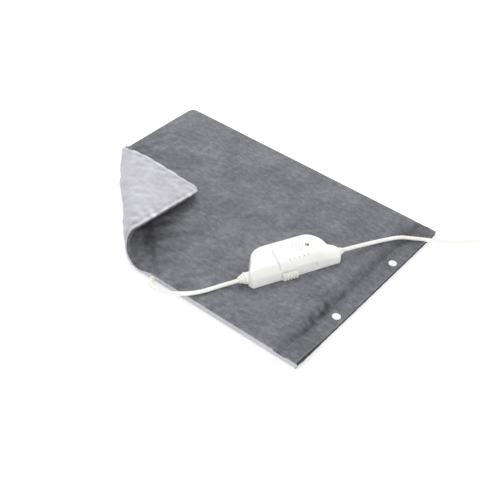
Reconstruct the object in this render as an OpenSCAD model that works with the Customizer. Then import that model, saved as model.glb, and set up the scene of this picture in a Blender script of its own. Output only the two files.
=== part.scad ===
// Electric heating pad: a fabric cover with a heating mat inside, one corner
// folded over on top, and an in-line slide controller on a flat cord.
// Units are millimetres. Origin: centre of the pad's underside.
// +X runs to the short side with the press studs, +Y to the far long side, +Z up.

/* [Pad] */
// Length of the pad along X
pad_length = 400; // [396:1:404]
// Width of the pad along Y
pad_width = 300; // [296:1:304]
// Thickness of the covered pad
pad_thick = 10; // [10:0.1:10.4]
// Thickness of each cover panel
cover_thick = 1.5; // [1.3:0.1:1.6]
// Height of the light side band of the lower panel
band_height = 8.4; // [8:0.1:8.4]
// Corner radius of the cover on the closed side
corner_r = 11; // [6:1:14]

/* [Folded corner] */
// Where the first fold line meets the left edge (Y)
fold_left_y = 15.9; // [12:0.1:18]
// Where the first fold line meets the near edge (X)
fold_near_x = -13.6; // [-16:0.1:-12]
// Spacing of the fold lines along the left edge
fold_left_pitch = 10; // [9.6:0.1:10.4]
// Spacing of the fold lines along the near edge
fold_near_pitch = 18.1; // [17.6:0.1:18.6]
// Angle of the first fold line
fold_angle = 28; // [26:0.1:28]
// Increase of angle from one fold line to the next
fold_angle_step = 4.9; // [4.4:0.1:4.9]

/* [Mouth and press studs] */
// Width of the flat hem band along the mouth
hem_width = 21.3; // [20:0.1:22]
// Half length of the part of the hem that opens
mouth_half = 90; // [80:1:91]
// Distance of the press studs from the pad's middle
stud_y = 60; // [50:1:65]
// Press stud cap diameter
cap_d = 10; // [9:0.1:11]

/* [Heating mat] */
// Distance between rows of heating wire
wire_pitch = 24; // [23.5:0.1:24]
// Diameter of the heating wire
wire_d = 1.8; // [1.4:0.1:1.9]

/* [Controller] */
// Height of the controller casing
ctl_height = 22; // [22:0.1:23]
// Height of the parting line above the base
parting_z = 5.5; // [5.2:0.1:5.8]
// Wall thickness of the casing
wall = 1.8; // [1.7:0.1:1.9]
// Distance between neighbouring switch positions
stop_pitch = 6.15; // [5.8:0.05:6.2]

/* [Cord and plug] */
// Diameter of the cord's round stand-in
cord_d = 4.4; // [4:0.1:4.4]
// Diameter of the plug pins
pin_d = 4; // [3.9:0.05:4.05]
// Distance between the plug pins
pin_gap = 18.6; // [17.5:0.1:19]

/* [Hidden] */
$fn = 48;
fit = 0.05;                     // clearance between touching parts
pad_left = -pad_length/2;
pad_right = pad_length/2;
pad_near = -pad_width/2;
pad_far = pad_width/2;
hem_x = pad_right - hem_width;  // crease line of the hem
panel_end_x = hem_x - 7;        // where the upper panel starts to slope down
stud_x = pad_right - 9;
fold_count = 5;
cord_r = cord_d/2;
cord_bore_r = cord_r + fit;

dark_fabric = [0.42, 0.43, 0.45];
light_fabric = [0.80, 0.80, 0.81];
white = [0.95, 0.95, 0.93];
cord_white = [0.93, 0.93, 0.91];
mat_felt = [0.86, 0.85, 0.82];
steel = [0.75, 0.75, 0.77];
copper = [0.80, 0.50, 0.30];
brass = [0.80, 0.68, 0.38];
board_green = [0.20, 0.42, 0.26];
component_black = [0.18, 0.18, 0.20];
led_red = [0.85, 0.25, 0.2];
lens_black = [0.12, 0.12, 0.14];
terminal_grey = [0.30, 0.33, 0.36];
carrier_grey = [0.35, 0.35, 0.38];
pin_carrier_grey = [0.30, 0.30, 0.32];
sleeve_black = [0.2, 0.2, 0.22];

// ---- outlines and paths -----------------------------------------------------
function unit(v) = v / norm(v);
function quarter_arc(center, r, start) =
  [for (i=[0:8]) let (a = start + 90*i/8) center + r*[cos(a), sin(a)]];
function shortest(a) = a > 180 ? a - 360 : (a < -180 ? a + 360 : a);

// outline whose corners [x, y, radius] are rounded with arcs of n steps
function fillet(corners, n=6) = [for (i=[0:len(corners)-1]) let (
    count = len(corners),
    before = corners[(i+count-1)%count],
    here = corners[i],
    after = corners[(i+1)%count],
    tip = [here[0], here[1]],
    r = here[2],
    to_before = unit([before[0], before[1]] - tip),
    to_after = unit([after[0], after[1]] - tip),
    half_angle = acos(to_before*to_after)/2,
    reach = r/tan(half_angle),
    center = tip + unit(to_before+to_after)*r/sin(half_angle),
    first = tip + to_before*reach - center,
    last = tip + to_after*reach - center,
    start = atan2(first[1], first[0]),
    sweep = shortest(atan2(last[1], last[0]) - start))
  for (k=[0:n]) center + r*[cos(start+sweep*k/n), sin(start+sweep*k/n)]];

// the same outline moved inward by d
function inset(outline, d) = let (count = len(outline)) [for (i=[0:count-1])
  let (along = unit(outline[(i+1)%count] - outline[(i+count-1)%count]))
    outline[i] + d*[-along[1], along[0]]];

// Catmull-Rom curve from b to c, and a path through all points with one added between each two
function curve(a, b, c, d, t) =
  0.5*((2*b) + (c-a)*t + (2*a-5*b+4*c-d)*t*t + (3*b-a-3*c+d)*t*t*t);
function smooth(points) = let (last = len(points)-1) concat(
  [for (i=[0:last-1]) for (t=[0, 0.5])
    curve(points[max(i-1, 0)], points[i], points[i+1], points[min(i+2, last)], t)],
  [points[last]]);

// point p turned about Z
function turned(p, a) = [p[0]*cos(a) - p[1]*sin(a), p[0]*sin(a) + p[1]*cos(a), p[2]];

// ---- basic solids -----------------------------------------------------------
module box(low, high) {
  translate(low) cube(high-low);
}

// coaxial discs, each [z, height, radius, top radius if tapered]
module stack(discs) {
  for (d=discs)
    translate([0, 0, d[0]]) cylinder(h=d[1], r1=d[2], r2=is_undef(d[3]) ? d[2] : d[3]);
}

// moves to p and turns +Z to +X
module along_x(p=[0, 0, 0]) {
  translate(p) rotate([0, 90, 0]) children();
}

module rod(start, end, r) {
  v = end - start;
  translate(start) rotate([0, acos(v[2]/norm(v)), atan2(v[1], v[0])])
    cylinder(h=norm(v), r=r, $fn=32);
}

// bar of radius r with n sides, swept along the path
function tangent(path, i) = unit(path[min(i+1, len(path)-1)] - path[max(i-1, 0)]);
module tube(path, r, n=14) {
  last = len(path) - 1;
  points = [for (i=[0:last]) let (
      forward = tangent(path, i),
      side = unit(cross(forward, [0, 0, 1])),
      up = cross(side, forward))
    for (k=[0:n-1]) path[i] + r*(cos(360*k/n)*side + sin(360*k/n)*up)];
  polyhedron(points = points, faces = concat(
    [[for (k=[n-1:-1:0]) k]],
    [[for (k=[0:n-1]) last*n+k]],
    [for (i=[0:last-1]) for (k=[0:n-1]) [i*n+k, i*n+(k+1)%n, (i+1)*n+(k+1)%n]],
    [for (i=[0:last-1]) for (k=[0:n-1]) [i*n+k, (i+1)*n+(k+1)%n, (i+1)*n+k]]));
}

// ---- folded corner ----------------------------------------------------------
// Fold line k (1..fold_count) runs in the flat pad from fold_left(k) on the left edge
// to fold_near(k) on the near edge. Body 0 is the flat pad, body k lies beyond line k.
mid_z = pad_thick/2;
left_pitch_drift = 0.16;        // gradual change of the line spacing
near_pitch_drift = 1.17;
function fold_left(k) =
  [pad_left, fold_left_y - fold_left_pitch*(k-1) + left_pitch_drift*(k-1)*(k-2), mid_z];
function fold_near(k) =
  [fold_near_x - fold_near_pitch*(k-1) + near_pitch_drift*(k-1)*(k-2), pad_near, mid_z];
function fold_turn(k) = fold_angle + fold_angle_step*(k-1);
// half gap left beside fold line k by a layer whose top is at height top
function fold_gap(k, top) = max(0.3, (top - mid_z)*tan(fold_turn(k)/2) + 0.2);
// X of fold line k at height y in plan
function fold_x_at(k, y) = let (a = fold_left(k), b = fold_near(k))
  a[0] + (a[1]-y)*(b[0]-a[0])/(a[1]-b[1]);

// puts its children, drawn in the flat pad, where body k of the folded corner lies
module folded(k) {
  if (k <= 0) children();
  else folded(k-1)
    translate(fold_left(k)) rotate(a=fold_turn(k), v=fold_left(k)-fold_near(k))
      translate(-fold_left(k)) children();
}

// one side of fold line k, gap away from it: side 1 is towards the corner, -1 away from it
module half(k, side, gap) {
  if (k < 1 || k > fold_count) box([-600, -600, -60], [600, 600, 60]);
  else {
    a = [fold_left(k)[0], fold_left(k)[1]];
    b = [fold_near(k)[0], fold_near(k)[1]];
    along = unit(b-a);
    out = [along[1], -along[0]]*side;
    start = a - 400*along;
    end = b + 400*along;
    inner = out*gap;
    outer = out*900;
    translate([0, 0, -60]) linear_extrude(height=120)
      polygon(side > 0 ? [start+inner, start+outer, end+outer, end+inner]
                       : [start+inner, end+inner, end+outer, start+outer]);
  }
}

// the part of its children that belongs to body k, for a layer whose top is at height top
module strip(k, top) {
  intersection() {
    children();
    half(k, 1, fold_gap(k, top));
    half(k+1, -1, fold_gap(k+1, top));
  }
}

// ---- cover ------------------------------------------------------------------
hem_top = 4.8;
hem_bottom = 3.6;
hem_seam = 0.4;                 // margin at the ends of the hem pieces

// the pad's outline moved inward by d, cut off at x_end
module slab(d, bottom, top, x_end=pad_right) {
  left = pad_left + d;
  right = min(pad_right-d, x_end);
  near = pad_near + d;
  far = pad_far - d;
  left_r = max(corner_r-d, 2);
  right_r = 2;
  translate([0, 0, bottom]) linear_extrude(height=top-bottom) polygon(concat(
    quarter_arc([left+left_r, near+left_r], left_r, 180),
    quarter_arc([right-right_r, near+right_r], right_r, 270),
    quarter_arc([right-right_r, far-right_r], right_r, 0),
    quarter_arc([left+left_r, far-left_r], left_r, 90)));
}

module lower_panel() {
  slab(0, 0, cover_thick, hem_x-2);
  difference() {
    slab(0, 0, band_height, panel_end_x);
    slab(cover_thick, -1, band_height+1);
  }
}

module upper_panel() {
  slab(0, pad_thick-cover_thick, pad_thick, panel_end_x);
}

// sloping end of the upper panel and its flat hem, between two Y and two X limits
module hem_section(y_from, y_to, x_from, x_to) {
  panel_z = pad_thick - cover_thick;
  intersection() {
    translate([0, y_to, 0]) rotate([90, 0, 0]) linear_extrude(height=y_to-y_from)
      polygon([[hem_x-8.5, panel_z], [hem_x-8.5, pad_thick], [panel_end_x, pad_thick],
               [hem_x, hem_top], [pad_right, hem_top], [pad_right, hem_bottom],
               [hem_x-0.4, hem_bottom], [hem_x-7.4, panel_z]]);
    box([x_from, pad_near-1, -1], [x_to, pad_far+1, 20]);
  }
}

module cover_top_panel() color(dark_fabric) {
  union() {
    strip(0, pad_thick) upper_panel();
    hem_section(pad_near+hem_seam, pad_far-hem_seam, hem_x-8.4, hem_x-0.3);
    hem_section(pad_near+hem_seam, -mouth_half-hem_seam, hem_x-1, pad_right);
    hem_section(mouth_half+hem_seam, pad_far-hem_seam, hem_x-1, pad_right);
  }
}

module cover_bottom_panel() color(light_fabric) {
  difference() {
    union() {
      strip(0, band_height) lower_panel();
      box([hem_x-4, pad_near+hem_seam, 0.6], [pad_right, pad_far-hem_seam, 1.8]);
    }
    at_studs() stack([[-1, 4, stud_hole_r]]);
    // opening for the cord grommet
    box([entry_x-2.65, pad_near-1, entry_z-2.6], [entry_x+2.65, pad_near+2, entry_z+2.6]);
  }
}

module cover_mouth_hem() color(dark_fabric) {
  difference() {
    hem_section(-mouth_half, mouth_half, hem_x+0.3, pad_right);
    at_studs() stack([[0, 8, stud_hole_r]]);
  }
}

module cover_top_strip(k) color(dark_fabric)
  folded(k) strip(k, pad_thick) upper_panel();
module cover_bottom_strip(k) color(light_fabric)
  folded(k) strip(k, band_height) lower_panel();

// ---- press studs ------------------------------------------------------------
stud_hole_r = 1.1;
cap_r = cap_d/2;

module at_studs() {
  for (s=[-1, 1]) translate([stud_x, s*stud_y, 0]) children();
}

module snap_caps() color(white) at_studs() difference() {
  stack([[4.85, 0.9, cap_r], [5.75, 0.6, cap_r, cap_r-1.3], [3.4, 1.5, 1.0]]);
  stack([[5.9, 1, 1.6]]);
}

module snap_sockets() color(white) at_studs() difference() {
  stack([[2.4, 1.15, 4.5]]);
  stack([[1.4, 4, 2.3]]);
}

module snap_studs() color(white) at_studs() difference() {
  stack([[1.85, 0.45, 4.2], [2.2, 1.05, 1.6]]);
  stack([[1, 1.6, 1.05]]);
}

module snap_posts() color(white) at_studs()
  stack([[0.1, 0.45, 4.2], [0.3, 2.25, 1.0]]);

// ---- heating mat ------------------------------------------------------------
mat_inset = 11;
mat_end_x = hem_x - 12.5;
upper_sheet_z = [6.1, 8.0];     // bottom and top
lower_sheet_z = [2.0, 3.9];
wire_z = 5;
wire_r = wire_d/2;
bend_r = wire_pitch/2;
row_y = [for (i=[0:10]) -5*wire_pitch + i*wire_pitch];
row_right_x = 136;              // right end of the rows
return_x = row_right_x + 4;     // where the quarter bends of the return run start
return_y = pad_near + 16;
wire_start_x = 19;
cutout_rows = [3, 8];
cutout_x = 30;
cutout_length = 14;
entry_x = -2;                   // centre of the cord where it enters the pad
entry_z = 4.1;
block_right = 12;

module upper_sheet() slab(mat_inset, upper_sheet_z[0], upper_sheet_z[1], mat_end_x);
module lower_sheet() slab(mat_inset, lower_sheet_z[0], lower_sheet_z[1], mat_end_x);
module upper_strip(k) strip(k, upper_sheet_z[1]) upper_sheet();
module lower_strip(k) strip(k, lower_sheet_z[1]) lower_sheet();

module block_pocket() {
  box([-9, pad_near+5, 1], [20, pad_near+36, 9]);
}

// boxes at the thermal cutouts, larger than the gap in the wire by margin
module cutout_boxes(margin, bottom, top) {
  for (i=cutout_rows)
    box([cutout_x-margin, row_y[i]-3-margin, bottom],
        [cutout_x+cutout_length+margin, row_y[i]+3+margin, top]);
}

module mat_upper_sheet() color(mat_felt) difference() {
  upper_strip(0);
  block_pocket();
  cutout_boxes(1, 5, 9);
}

module mat_lower_sheet() color(mat_felt) difference() {
  lower_strip(0);
  block_pocket();
}

// left end of row i, clear of the first fold line; rows joined by a bend share it
function row_left(i) = let (lower = i % 2 == 1 ? i : i-1)
  max(pad_left+36, fold_x_at(1, row_y[lower]) + bend_r + 10);

module wire_run(x_from, x_to, y) rod([x_from, y, wire_z], [x_to, y, wire_z], wire_r);

module wire_bend(x, y, start, sweep) {
  translate([x, y, wire_z]) rotate([0, 0, start])
    rotate_extrude(angle=sweep) translate([bend_r, 0]) circle(r=wire_r, $fn=24);
}

module heating_wire() color(copper) difference() {
  union() {
    for (i=[0:10])
      wire_run(i == 0 ? wire_start_x : row_left(i), i == 10 ? return_x : row_right_x, row_y[i]);
    for (i=[0:2:8]) wire_bend(row_right_x, row_y[i]+bend_r, -90, 180);
    for (i=[1:2:9]) wire_bend(row_left(i), row_y[i]+bend_r, 90, 180);
    // return run down the right side and back along the near edge
    wire_bend(return_x, row_y[10]-bend_r, 0, 90);
    rod([return_x+bend_r, row_y[10]-bend_r, wire_z],
        [return_x+bend_r, pad_near+28, wire_z], wire_r);
    wire_bend(return_x, pad_near+28, -90, 90);
    wire_run(wire_start_x, return_x, return_y);
  }
  cutout_boxes(0, 0, 9);
}

module heating_wire_corner() color(copper) folded(fold_count) union() {
  left = pad_left + 26;
  first_y = row_y[0] - 6;
  for (y=[first_y, first_y+wire_pitch]) wire_run(left, fold_x_at(fold_count, y)-12, y);
  wire_bend(left, first_y+bend_r, 90, 180);
}

module thermal_cutouts() color(white) cutout_boxes(-0.1, 4.0, 7.6);

// moves to the cord entry on the near edge and turns +Z to +Y
module at_entry() {
  translate([entry_x, pad_near, entry_z]) rotate([-90, 0, 0]) children();
}

module cord_entry_block() color(white) difference() {
  box([-8, pad_near+3, 1.6], [block_right, pad_near+34.5, 8.0]);
  at_entry() stack([[1, 12, cord_bore_r]]);
}

module crimp_sleeves() color(steel) {
  for (y=[row_y[0], return_y])
    rod([block_right+fit, y, wire_z], [wire_start_x-fit, y, wire_z], 1.4);
}

module mat_strip(k) color(mat_felt) {
  folded(k) {
    upper_strip(k);
    lower_strip(k);
  }
}
module mat_upper_corner() color(mat_felt) folded(fold_count) upper_strip(fold_count);
module mat_lower_corner() color(mat_felt) folded(fold_count) lower_strip(fold_count);

// ---- controller -------------------------------------------------------------
// Own frame: X along the casing from the pad cord to the mains cord,
// Y from the knob side to the rounded side, Z up from the base.
ctl_angle = 65.1;
ctl_origin = [95.4, -93.3, pad_thick+fit];
ctl_length = 118.5;
// casing corners [x, y, radius]
shell_outline = fillet([[0, 0, 5], [ctl_length, 0, 6], [ctl_length, 14.5, 4], [111, 15.5, 7],
  [97.5, 41.5, 18], [31, 41.5, 26], [0, 20, 10]]);
bosses = [[17, 20], [60, 33.5], [97, 21]];
pad_side = [0, 10, 8.3];        // where the cords pass the end walls
mains_side = [ctl_length, 8.2, 10];
shoulder_z = ctl_height - 4.6;  // steps of the rounded top edge
crown_z = ctl_height - 1.7;
knob_x = 49.5;                  // knob centre at its first stop
knob_length = 21;
knob_left = knob_x - knob_length/2;
knob_right = knob_x + knob_length/2;
travel = 4*stop_pitch;
lamp = [83, 23.2];
board_bottom = 11.6;
board_top = 13.2;
mount_z = board_top + fit;      // underside of the parts on the board
terminal_y = 13.3;              // middle of the two terminals
terminal_offset = 2.2;
spring_near = 9.2;              // Y faces of the detent spring
spring_far = 9.6;

function ctl_point(p) = ctl_origin + turned(p, ctl_angle);
module in_ctl() translate(ctl_origin) rotate([0, 0, ctl_angle]) children();
module at_bosses() for (b=bosses) translate([b[0], b[1], 0]) children();

// casing outline moved inward by d
module shell_prism(d, bottom, top) {
  translate([0, 0, bottom]) linear_extrude(height=top-bottom)
    polygon(inset(shell_outline, d));
}

module cord_holes() {
  along_x(pad_side) stack([[-1, 4, 4.3]]);
  along_x(mains_side) stack([[-3.5, 5, 3.6]]);
}

// shallow track for the knob and the slot for its stem
module knob_recess() {
  box([knob_left-0.6, -1, 1.2], [knob_right+travel+1.6, 1.0, 14.0]);
  box([knob_x-3.4, -1, 6.5], [knob_x+3.4+travel, wall+1, 9.5]);
}

module controller_upper_shell() color(white) in_ctl() difference() {
  union() {
    difference() {
      union() {
        shell_prism(0, parting_z+fit, shoulder_z+0.1);
        shell_prism(1.4, shoulder_z, crown_z+0.1);
        shell_prism(3.4, crown_z, ctl_height);
      }
      shell_prism(wall, parting_z-1, shoulder_z);
      shell_prism(3.2, shoulder_z-0.1, ctl_height-wall);
    }
    at_bosses() stack([[13.4, ctl_height-wall-13.3, 3]]);
  }
  at_bosses() stack([[13, 5.5, 1.2]]);
  cord_holes();
  knob_recess();
  translate(concat(lamp, 0)) stack([[ctl_height-4, 6, 2.25]]);
  // groove across the top
  box([38.4, 5, ctl_height-0.6], [39.8, 36, ctl_height+1]);
}

module controller_lower_shell() color(white) in_ctl() difference() {
  union() {
    difference() {
      shell_prism(0, 0, parting_z-fit);
      shell_prism(wall, wall, parting_z+1);
    }
    at_bosses() stack([[1, 10.4, 3.4]]);
  }
  at_bosses() stack([[-1, 14, 1.6], [-1, 3.2, 2.9]]);
  cord_holes();
  knob_recess();
}

// screws with a cross slot in the head, which faces down
module shell_screws() color(steel) in_ctl() at_bosses() difference() {
  stack([[0.5, 1.7, 2.8], [1, 17, 1.15]]);
  box([-2, -0.35, 0], [2, 0.35, 1.2]);
  box([-0.35, -2, 0], [0.35, 2, 1.2]);
}

module circuit_board() color(board_green) in_ctl() difference() {
  intersection() {
    shell_prism(3.6, board_bottom, board_top);
    box([13, 9.2, 11], [104, 50, 14]);
  }
  at_bosses() stack([[10, 5, 1.7]]);
}

module board_components() color(component_black) in_ctl() {
  box([24, 13, mount_z], [34, 27, 17.4]);
  along_x([44, 27, 15.9]) cylinder(h=14, r=2.5);
  box([68, 28, mount_z], [80, 34, 18.2]);
  box([62, 12, mount_z], [73, 19, 15.0]);
  for (i=[0:2]) box([44+6*i, 12, mount_z], [47+6*i, 13.6, 14.2]);
}

module thermal_fuse() color(steel) in_ctl() union() {
  along_x([38, 17.5, 15.4]) cylinder(h=11, r=2);
  rod([35.5, 17.5, 15.4], [51.5, 17.5, 15.4], 0.5);
}

module indicator_led() color(led_red) in_ctl() translate(concat(lamp, mount_z))
  stack([[0, 4.2, 1.5], [0, 0.8, 1.9]]);

module indicator_lens() color(lens_black) in_ctl() translate(concat(lamp, ctl_height))
  stack([[-3.9, 2, 2.8], [-2.0, 2.3, 2.2]]);

module terminal_block() color(terminal_grey) in_ctl() difference() {
  box([24, 8.4, wall+fit], [36, 18.4, 9.6]);
  for (y=[terminal_y-terminal_offset, terminal_y+terminal_offset]) {
    translate([30, y, 6.2]) cylinder(h=6, r=1.6);
    along_x([23, y, 5]) cylinder(h=6, r=1.2);
  }
}

module fixed_contacts() color(brass) in_ctl() for (i=[0:4]) {
  x = knob_x + stop_pitch*i;
  box([x-1.4, 10, 11.3], [x+1.4, 13, 11.57]);
}

// leaf with a round bump on either side of each stop, and a leg at each end
module detent_spring() color(steel) in_ctl() union() {
  left = knob_x - 8;
  right = knob_x + travel + 8;
  box([left, spring_near, 5.3], [right, spring_far, 9.3]);
  for (i=[0:5]) translate([knob_x+stop_pitch*(i-0.5), 9.25, 5.3])
    cylinder(h=4, r=0.45, $fn=24);
  for (x=[left, right-1.4])
    box([x, spring_near, wall+fit], [x+1.4, spring_far, 5.4]);
}

module cord_clamps() color(white) in_ctl() {
  box([8.2, 4, pad_side[2]+2.25], [11.2, 16, pad_side[2]+4.2]);
  box([107, 4, mains_side[2]+2.25], [110, 15, mains_side[2]+4.2]);
}

module strain_relief_pad_side() color(white) in_ctl() along_x(pad_side) difference() {
  stack([[-0.2, 2.3, 4.25], [wall+fit, 1.5, 5.4], [-3.2, 3.15, 6.1, 6.9],
         [-6.2, 3.1, 4.9, 5.6], [-8.8, 2.7, 3.8, 4.4]]);
  stack([[-10, 20, cord_bore_r]]);
}

module strain_relief_mains_side() color(white) in_ctl() along_x(mains_side) difference() {
  stack([[-5.0, 5.2, 3.5], [-5.2, 1.3, 4.2], [0.05, 2.5, 4.8], [2.5, 3, 4.0, 3.0]]);
  stack([[-6, 14, cord_bore_r]]);
}

// bare ends: pad cord to the terminals, mains cord to the board
module conductor_tails() color(copper) in_ctl() for (s=[-1, 1]) {
  y = terminal_y + s*terminal_offset;
  tube([pad_side+[12.2, s*1.1, 0], pad_side+[13.6, s*1.1, 0],
        [16.5, 11.4+s*1.6, 6.6], [21, y, 5.2], [23.5, y, 5], [28, y, 5]], 0.7, 8);
  tube([mains_side+[-12.7, s*1.1, 0], mains_side+[-14.1, s*1.1, 0],
        [100, 12+s*2.2, 9.2], [97, 12+s*2.4, 9.6], [95.4, 12+s*2.4, 10.6]], 0.7, 8);
}

// ribbed plate with a stem reaching into the casing
module slide_knob() color(white) in_ctl() union() {
  box([knob_left, -1.7, 1.5], [knob_right, 0.8, 13.6]);
  for (i=[-2:2]) translate([knob_x+i*3.9, -1.7, 1.9]) cylinder(h=11.2, r=1.35);
  box([knob_x-3, 0, 6.7], [knob_x+3, 6.4, 9.3]);
}

module contact_carrier() color(carrier_grey) in_ctl() difference() {
  box([knob_x-4.2, 2.2, 5.2], [knob_x+4.2, 8.6, 10.9]);
  box([knob_x-3.1, 0, 6.6], [knob_x+3.1, 6.6, 9.4]);
}

module bridge_contact() color(brass) in_ctl()
  box([knob_x-2, 4, 10.95], [knob_x+2, 12.6, 11.2]);

// ---- cords and plug ---------------------------------------------------------
// Plug frame: X along the pins, 0 at the face they leave; the cord enters from -X.
plug_angle = 42;
plug_origin = [318, 232, 6.9];
pin_shank_r = 1.45;
pin_bore_r = pin_shank_r + fit;
sleeve_r = 1.75;
sleeve_bore_r = 1.85;
// plug corners [x, y, radius]
plug_outline = fillet([[0, -17.6, 3], [0, 17.6, 3], [-15, 17.6, 6], [-27, 8, 6],
  [-37, 7, 2], [-37, -7, 2], [-27, -8, 6], [-15, -17.6, 6]], 4);

function plug_point(x) = plug_origin + turned([x, 0, 0], plug_angle);
module in_plug() translate(plug_origin) rotate([0, 0, plug_angle]) children();
module at_pins() for (s=[-1, 1]) along_x([0, s*pin_gap/2, 0]) children();

// cord centre lines [x, y, z], from the controller outwards
pad_path = concat(
  [ctl_point(pad_side+[12, 0, 0]), ctl_point(pad_side+[-10, 0, 0])],
  smooth([ctl_point(pad_side+[-12.5, 0.1, -0.4]),
    [70.3, -112.1, 13.2], [57.9, -137.3, 12.3], [45.7, -152.2, 12.2], [30, -158.6, 7.6],
    [16.1, -159.2, 3.0], [5.5, -158.6, 2.5], [0.2, -156.6, 3.3], [entry_x, -153.0, entry_z]]),
  [[entry_x, pad_near+3.3, entry_z]]);
mains_path = concat(
  [ctl_point(mains_side+[-12.5, 0, 0]), ctl_point(mains_side+[7.5, 0, 0])],
  smooth([ctl_point(mains_side+[10, 0.1, -0.4]),
    [155, 59, 16.5], [165.4, 85, 12.8], [175, 102, 12.3], [186.5, 114.5, 8.5],
    [200.6, 126, 7.0], [211, 136, 4.2], [224, 149, 2.3], [246, 172, 2.3],
    plug_point(-62)+[0, 0, -3.5]]),
  [plug_point(-52), plug_point(-31)]);

module pad_cord() color(cord_white) tube(pad_path, cord_r);
module mains_cord() color(cord_white) tube(mains_path, cord_r);

module pad_cord_grommet() color(white) at_entry() difference() {
  stack([[-2.4, 2.3, 3.1], [-0.2, 2.9, 2.5]]);
  stack([[-5, 10, cord_bore_r]]);
}

module plug_body() color(white) in_plug() difference() {
  union() {
    translate([0, 0, -5.4]) linear_extrude(height=10.8) polygon(plug_outline);
    translate([0, 0, -6.85]) linear_extrude(height=13.7) polygon(inset(plug_outline, -1.2));
  }
  box([-17, -13.5, -2.6], [-3, 13.5, 2.6]);
  at_pins() stack([[-4, 6, sleeve_bore_r]]);
  along_x() stack([[-39, 9, cord_bore_r]]);
}

module plug_pin_carrier() color(pin_carrier_grey) in_plug() difference() {
  box([-16.8, -13.3, -2.4], [-4, 13.3, 2.4]);
  at_pins() stack([[-12, 20, pin_bore_r], [-5, 12, sleeve_bore_r]]);
}

module plug_pins() color(brass) in_plug() at_pins()
  stack([[-11.8, 22, pin_shank_r], [10, 8.2, pin_d/2], [18.2, 0.8, pin_d/2, pin_d/2-0.8]]);

module plug_pin_sleeves() color(sleeve_black) in_plug() at_pins() difference() {
  stack([[-4.9, 14.8, sleeve_r]]);
  stack([[-6, 18, pin_bore_r]]);
}

module plug_cord_relief() color(white)
  in_plug() translate([-38.3, 0, 0]) rotate([0, -90, 0]) difference() {
    union() {
      stack([for (i=[0:3]) [i*3.4, 2.4, 5.2-0.5*i, 5.0-0.5*i]]);
      stack([[0, 13.5, 3.1]]);
    }
    stack([[-1, 20, cord_bore_r]]);
  }

// ---- build ------------------------------------------------------------------
cover_top_panel();
cover_bottom_panel();
mat_upper_sheet();
mat_lower_sheet();
heating_wire();
thermal_cutouts();
cord_entry_block();
crimp_sleeves();
pad_cord();
pad_cord_grommet();
snap_studs();
snap_posts();
controller_upper_shell();
controller_lower_shell();
circuit_board();
board_components();
thermal_fuse();
indicator_led();
indicator_lens();
terminal_block();
fixed_contacts();
detent_spring();
cord_clamps();
shell_screws();
strain_relief_pad_side();
strain_relief_mains_side();
conductor_tails();
slide_knob();
contact_carrier();
bridge_contact();
mains_cord();
plug_body();
plug_pins();
plug_pin_sleeves();
plug_pin_carrier();
plug_cord_relief();
cover_mouth_hem();
snap_caps();
snap_sockets();
cover_top_strip(1);  // cover_top_curl_1
cover_bottom_strip(1);  // cover_bottom_curl_1
mat_strip(1);  // mat_curl_1
cover_top_strip(2);  // cover_top_curl_2
cover_bottom_strip(2);  // cover_bottom_curl_2
mat_strip(2);  // mat_curl_2
cover_top_strip(3);  // cover_top_curl_3
cover_bottom_strip(3);  // cover_bottom_curl_3
mat_strip(3);  // mat_curl_3
cover_top_strip(4);  // cover_top_curl_4
cover_bottom_strip(4);  // cover_bottom_curl_4
mat_strip(4);  // mat_curl_4
cover_top_strip(fold_count);  // cover_top_corner
cover_bottom_strip(fold_count);  // cover_bottom_corner
mat_upper_corner();
mat_lower_corner();
heating_wire_corner();
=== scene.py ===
"""Heating pad with a slide-switch controller, two cords and a mains plug.

Lengths are millimetres; meshes are scaled to metres as they are made. The pad lies flat on z = 0.
Its cover has its mouth along the +x edge, and its corner at -x, -y is curled up and over.
Near means -y, far +y and left -x.
"""

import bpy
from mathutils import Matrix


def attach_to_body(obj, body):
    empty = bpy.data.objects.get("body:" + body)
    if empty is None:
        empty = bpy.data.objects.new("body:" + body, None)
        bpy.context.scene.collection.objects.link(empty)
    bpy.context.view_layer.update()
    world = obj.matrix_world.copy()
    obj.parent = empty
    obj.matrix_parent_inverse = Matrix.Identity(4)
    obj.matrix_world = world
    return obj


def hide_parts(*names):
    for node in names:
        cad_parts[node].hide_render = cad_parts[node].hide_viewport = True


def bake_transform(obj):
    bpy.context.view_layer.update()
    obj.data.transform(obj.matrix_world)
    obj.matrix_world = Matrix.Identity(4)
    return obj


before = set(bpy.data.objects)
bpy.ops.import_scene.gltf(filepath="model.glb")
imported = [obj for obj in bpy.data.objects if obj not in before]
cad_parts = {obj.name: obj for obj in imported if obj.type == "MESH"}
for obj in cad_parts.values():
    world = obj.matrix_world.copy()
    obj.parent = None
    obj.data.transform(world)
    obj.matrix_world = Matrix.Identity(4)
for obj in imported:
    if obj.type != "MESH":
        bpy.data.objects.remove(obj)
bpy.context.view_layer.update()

import math
import bpy
import bmesh
import numpy as np
from mathutils import Matrix, Vector

MM = 0.001
X_MIN, X_MAX, Y_MIN, Y_MAX = -200.0, 200.0, -150.0, 150.0
PAD_T = 10.0                        # thickness of the closed pad
HEM_X = 178.7                       # crease of the hem
MOUTH_INNER, MOUTH_OUTER = 67, 95   # |y| where the hem moves fully, and not at all, with the mouth
SCENE = bpy.context.scene


# ---------------------------------------------------------------- shaping functions
def smooth_step(t):
    t = np.clip(t, 0.0, 1.0)
    return t * t * (3 - 2 * t)


def rise(x, start, length):
    """0 up to start, then smoothly up to 1 over length."""
    return smooth_step((x - start) / length)


def fall(x, start, length):
    return 1 - rise(x, start, length)


def hill(x, centre, width):
    """Bell curve of height 1."""
    t = (x - centre) / width
    return np.exp(-t * t)


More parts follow.
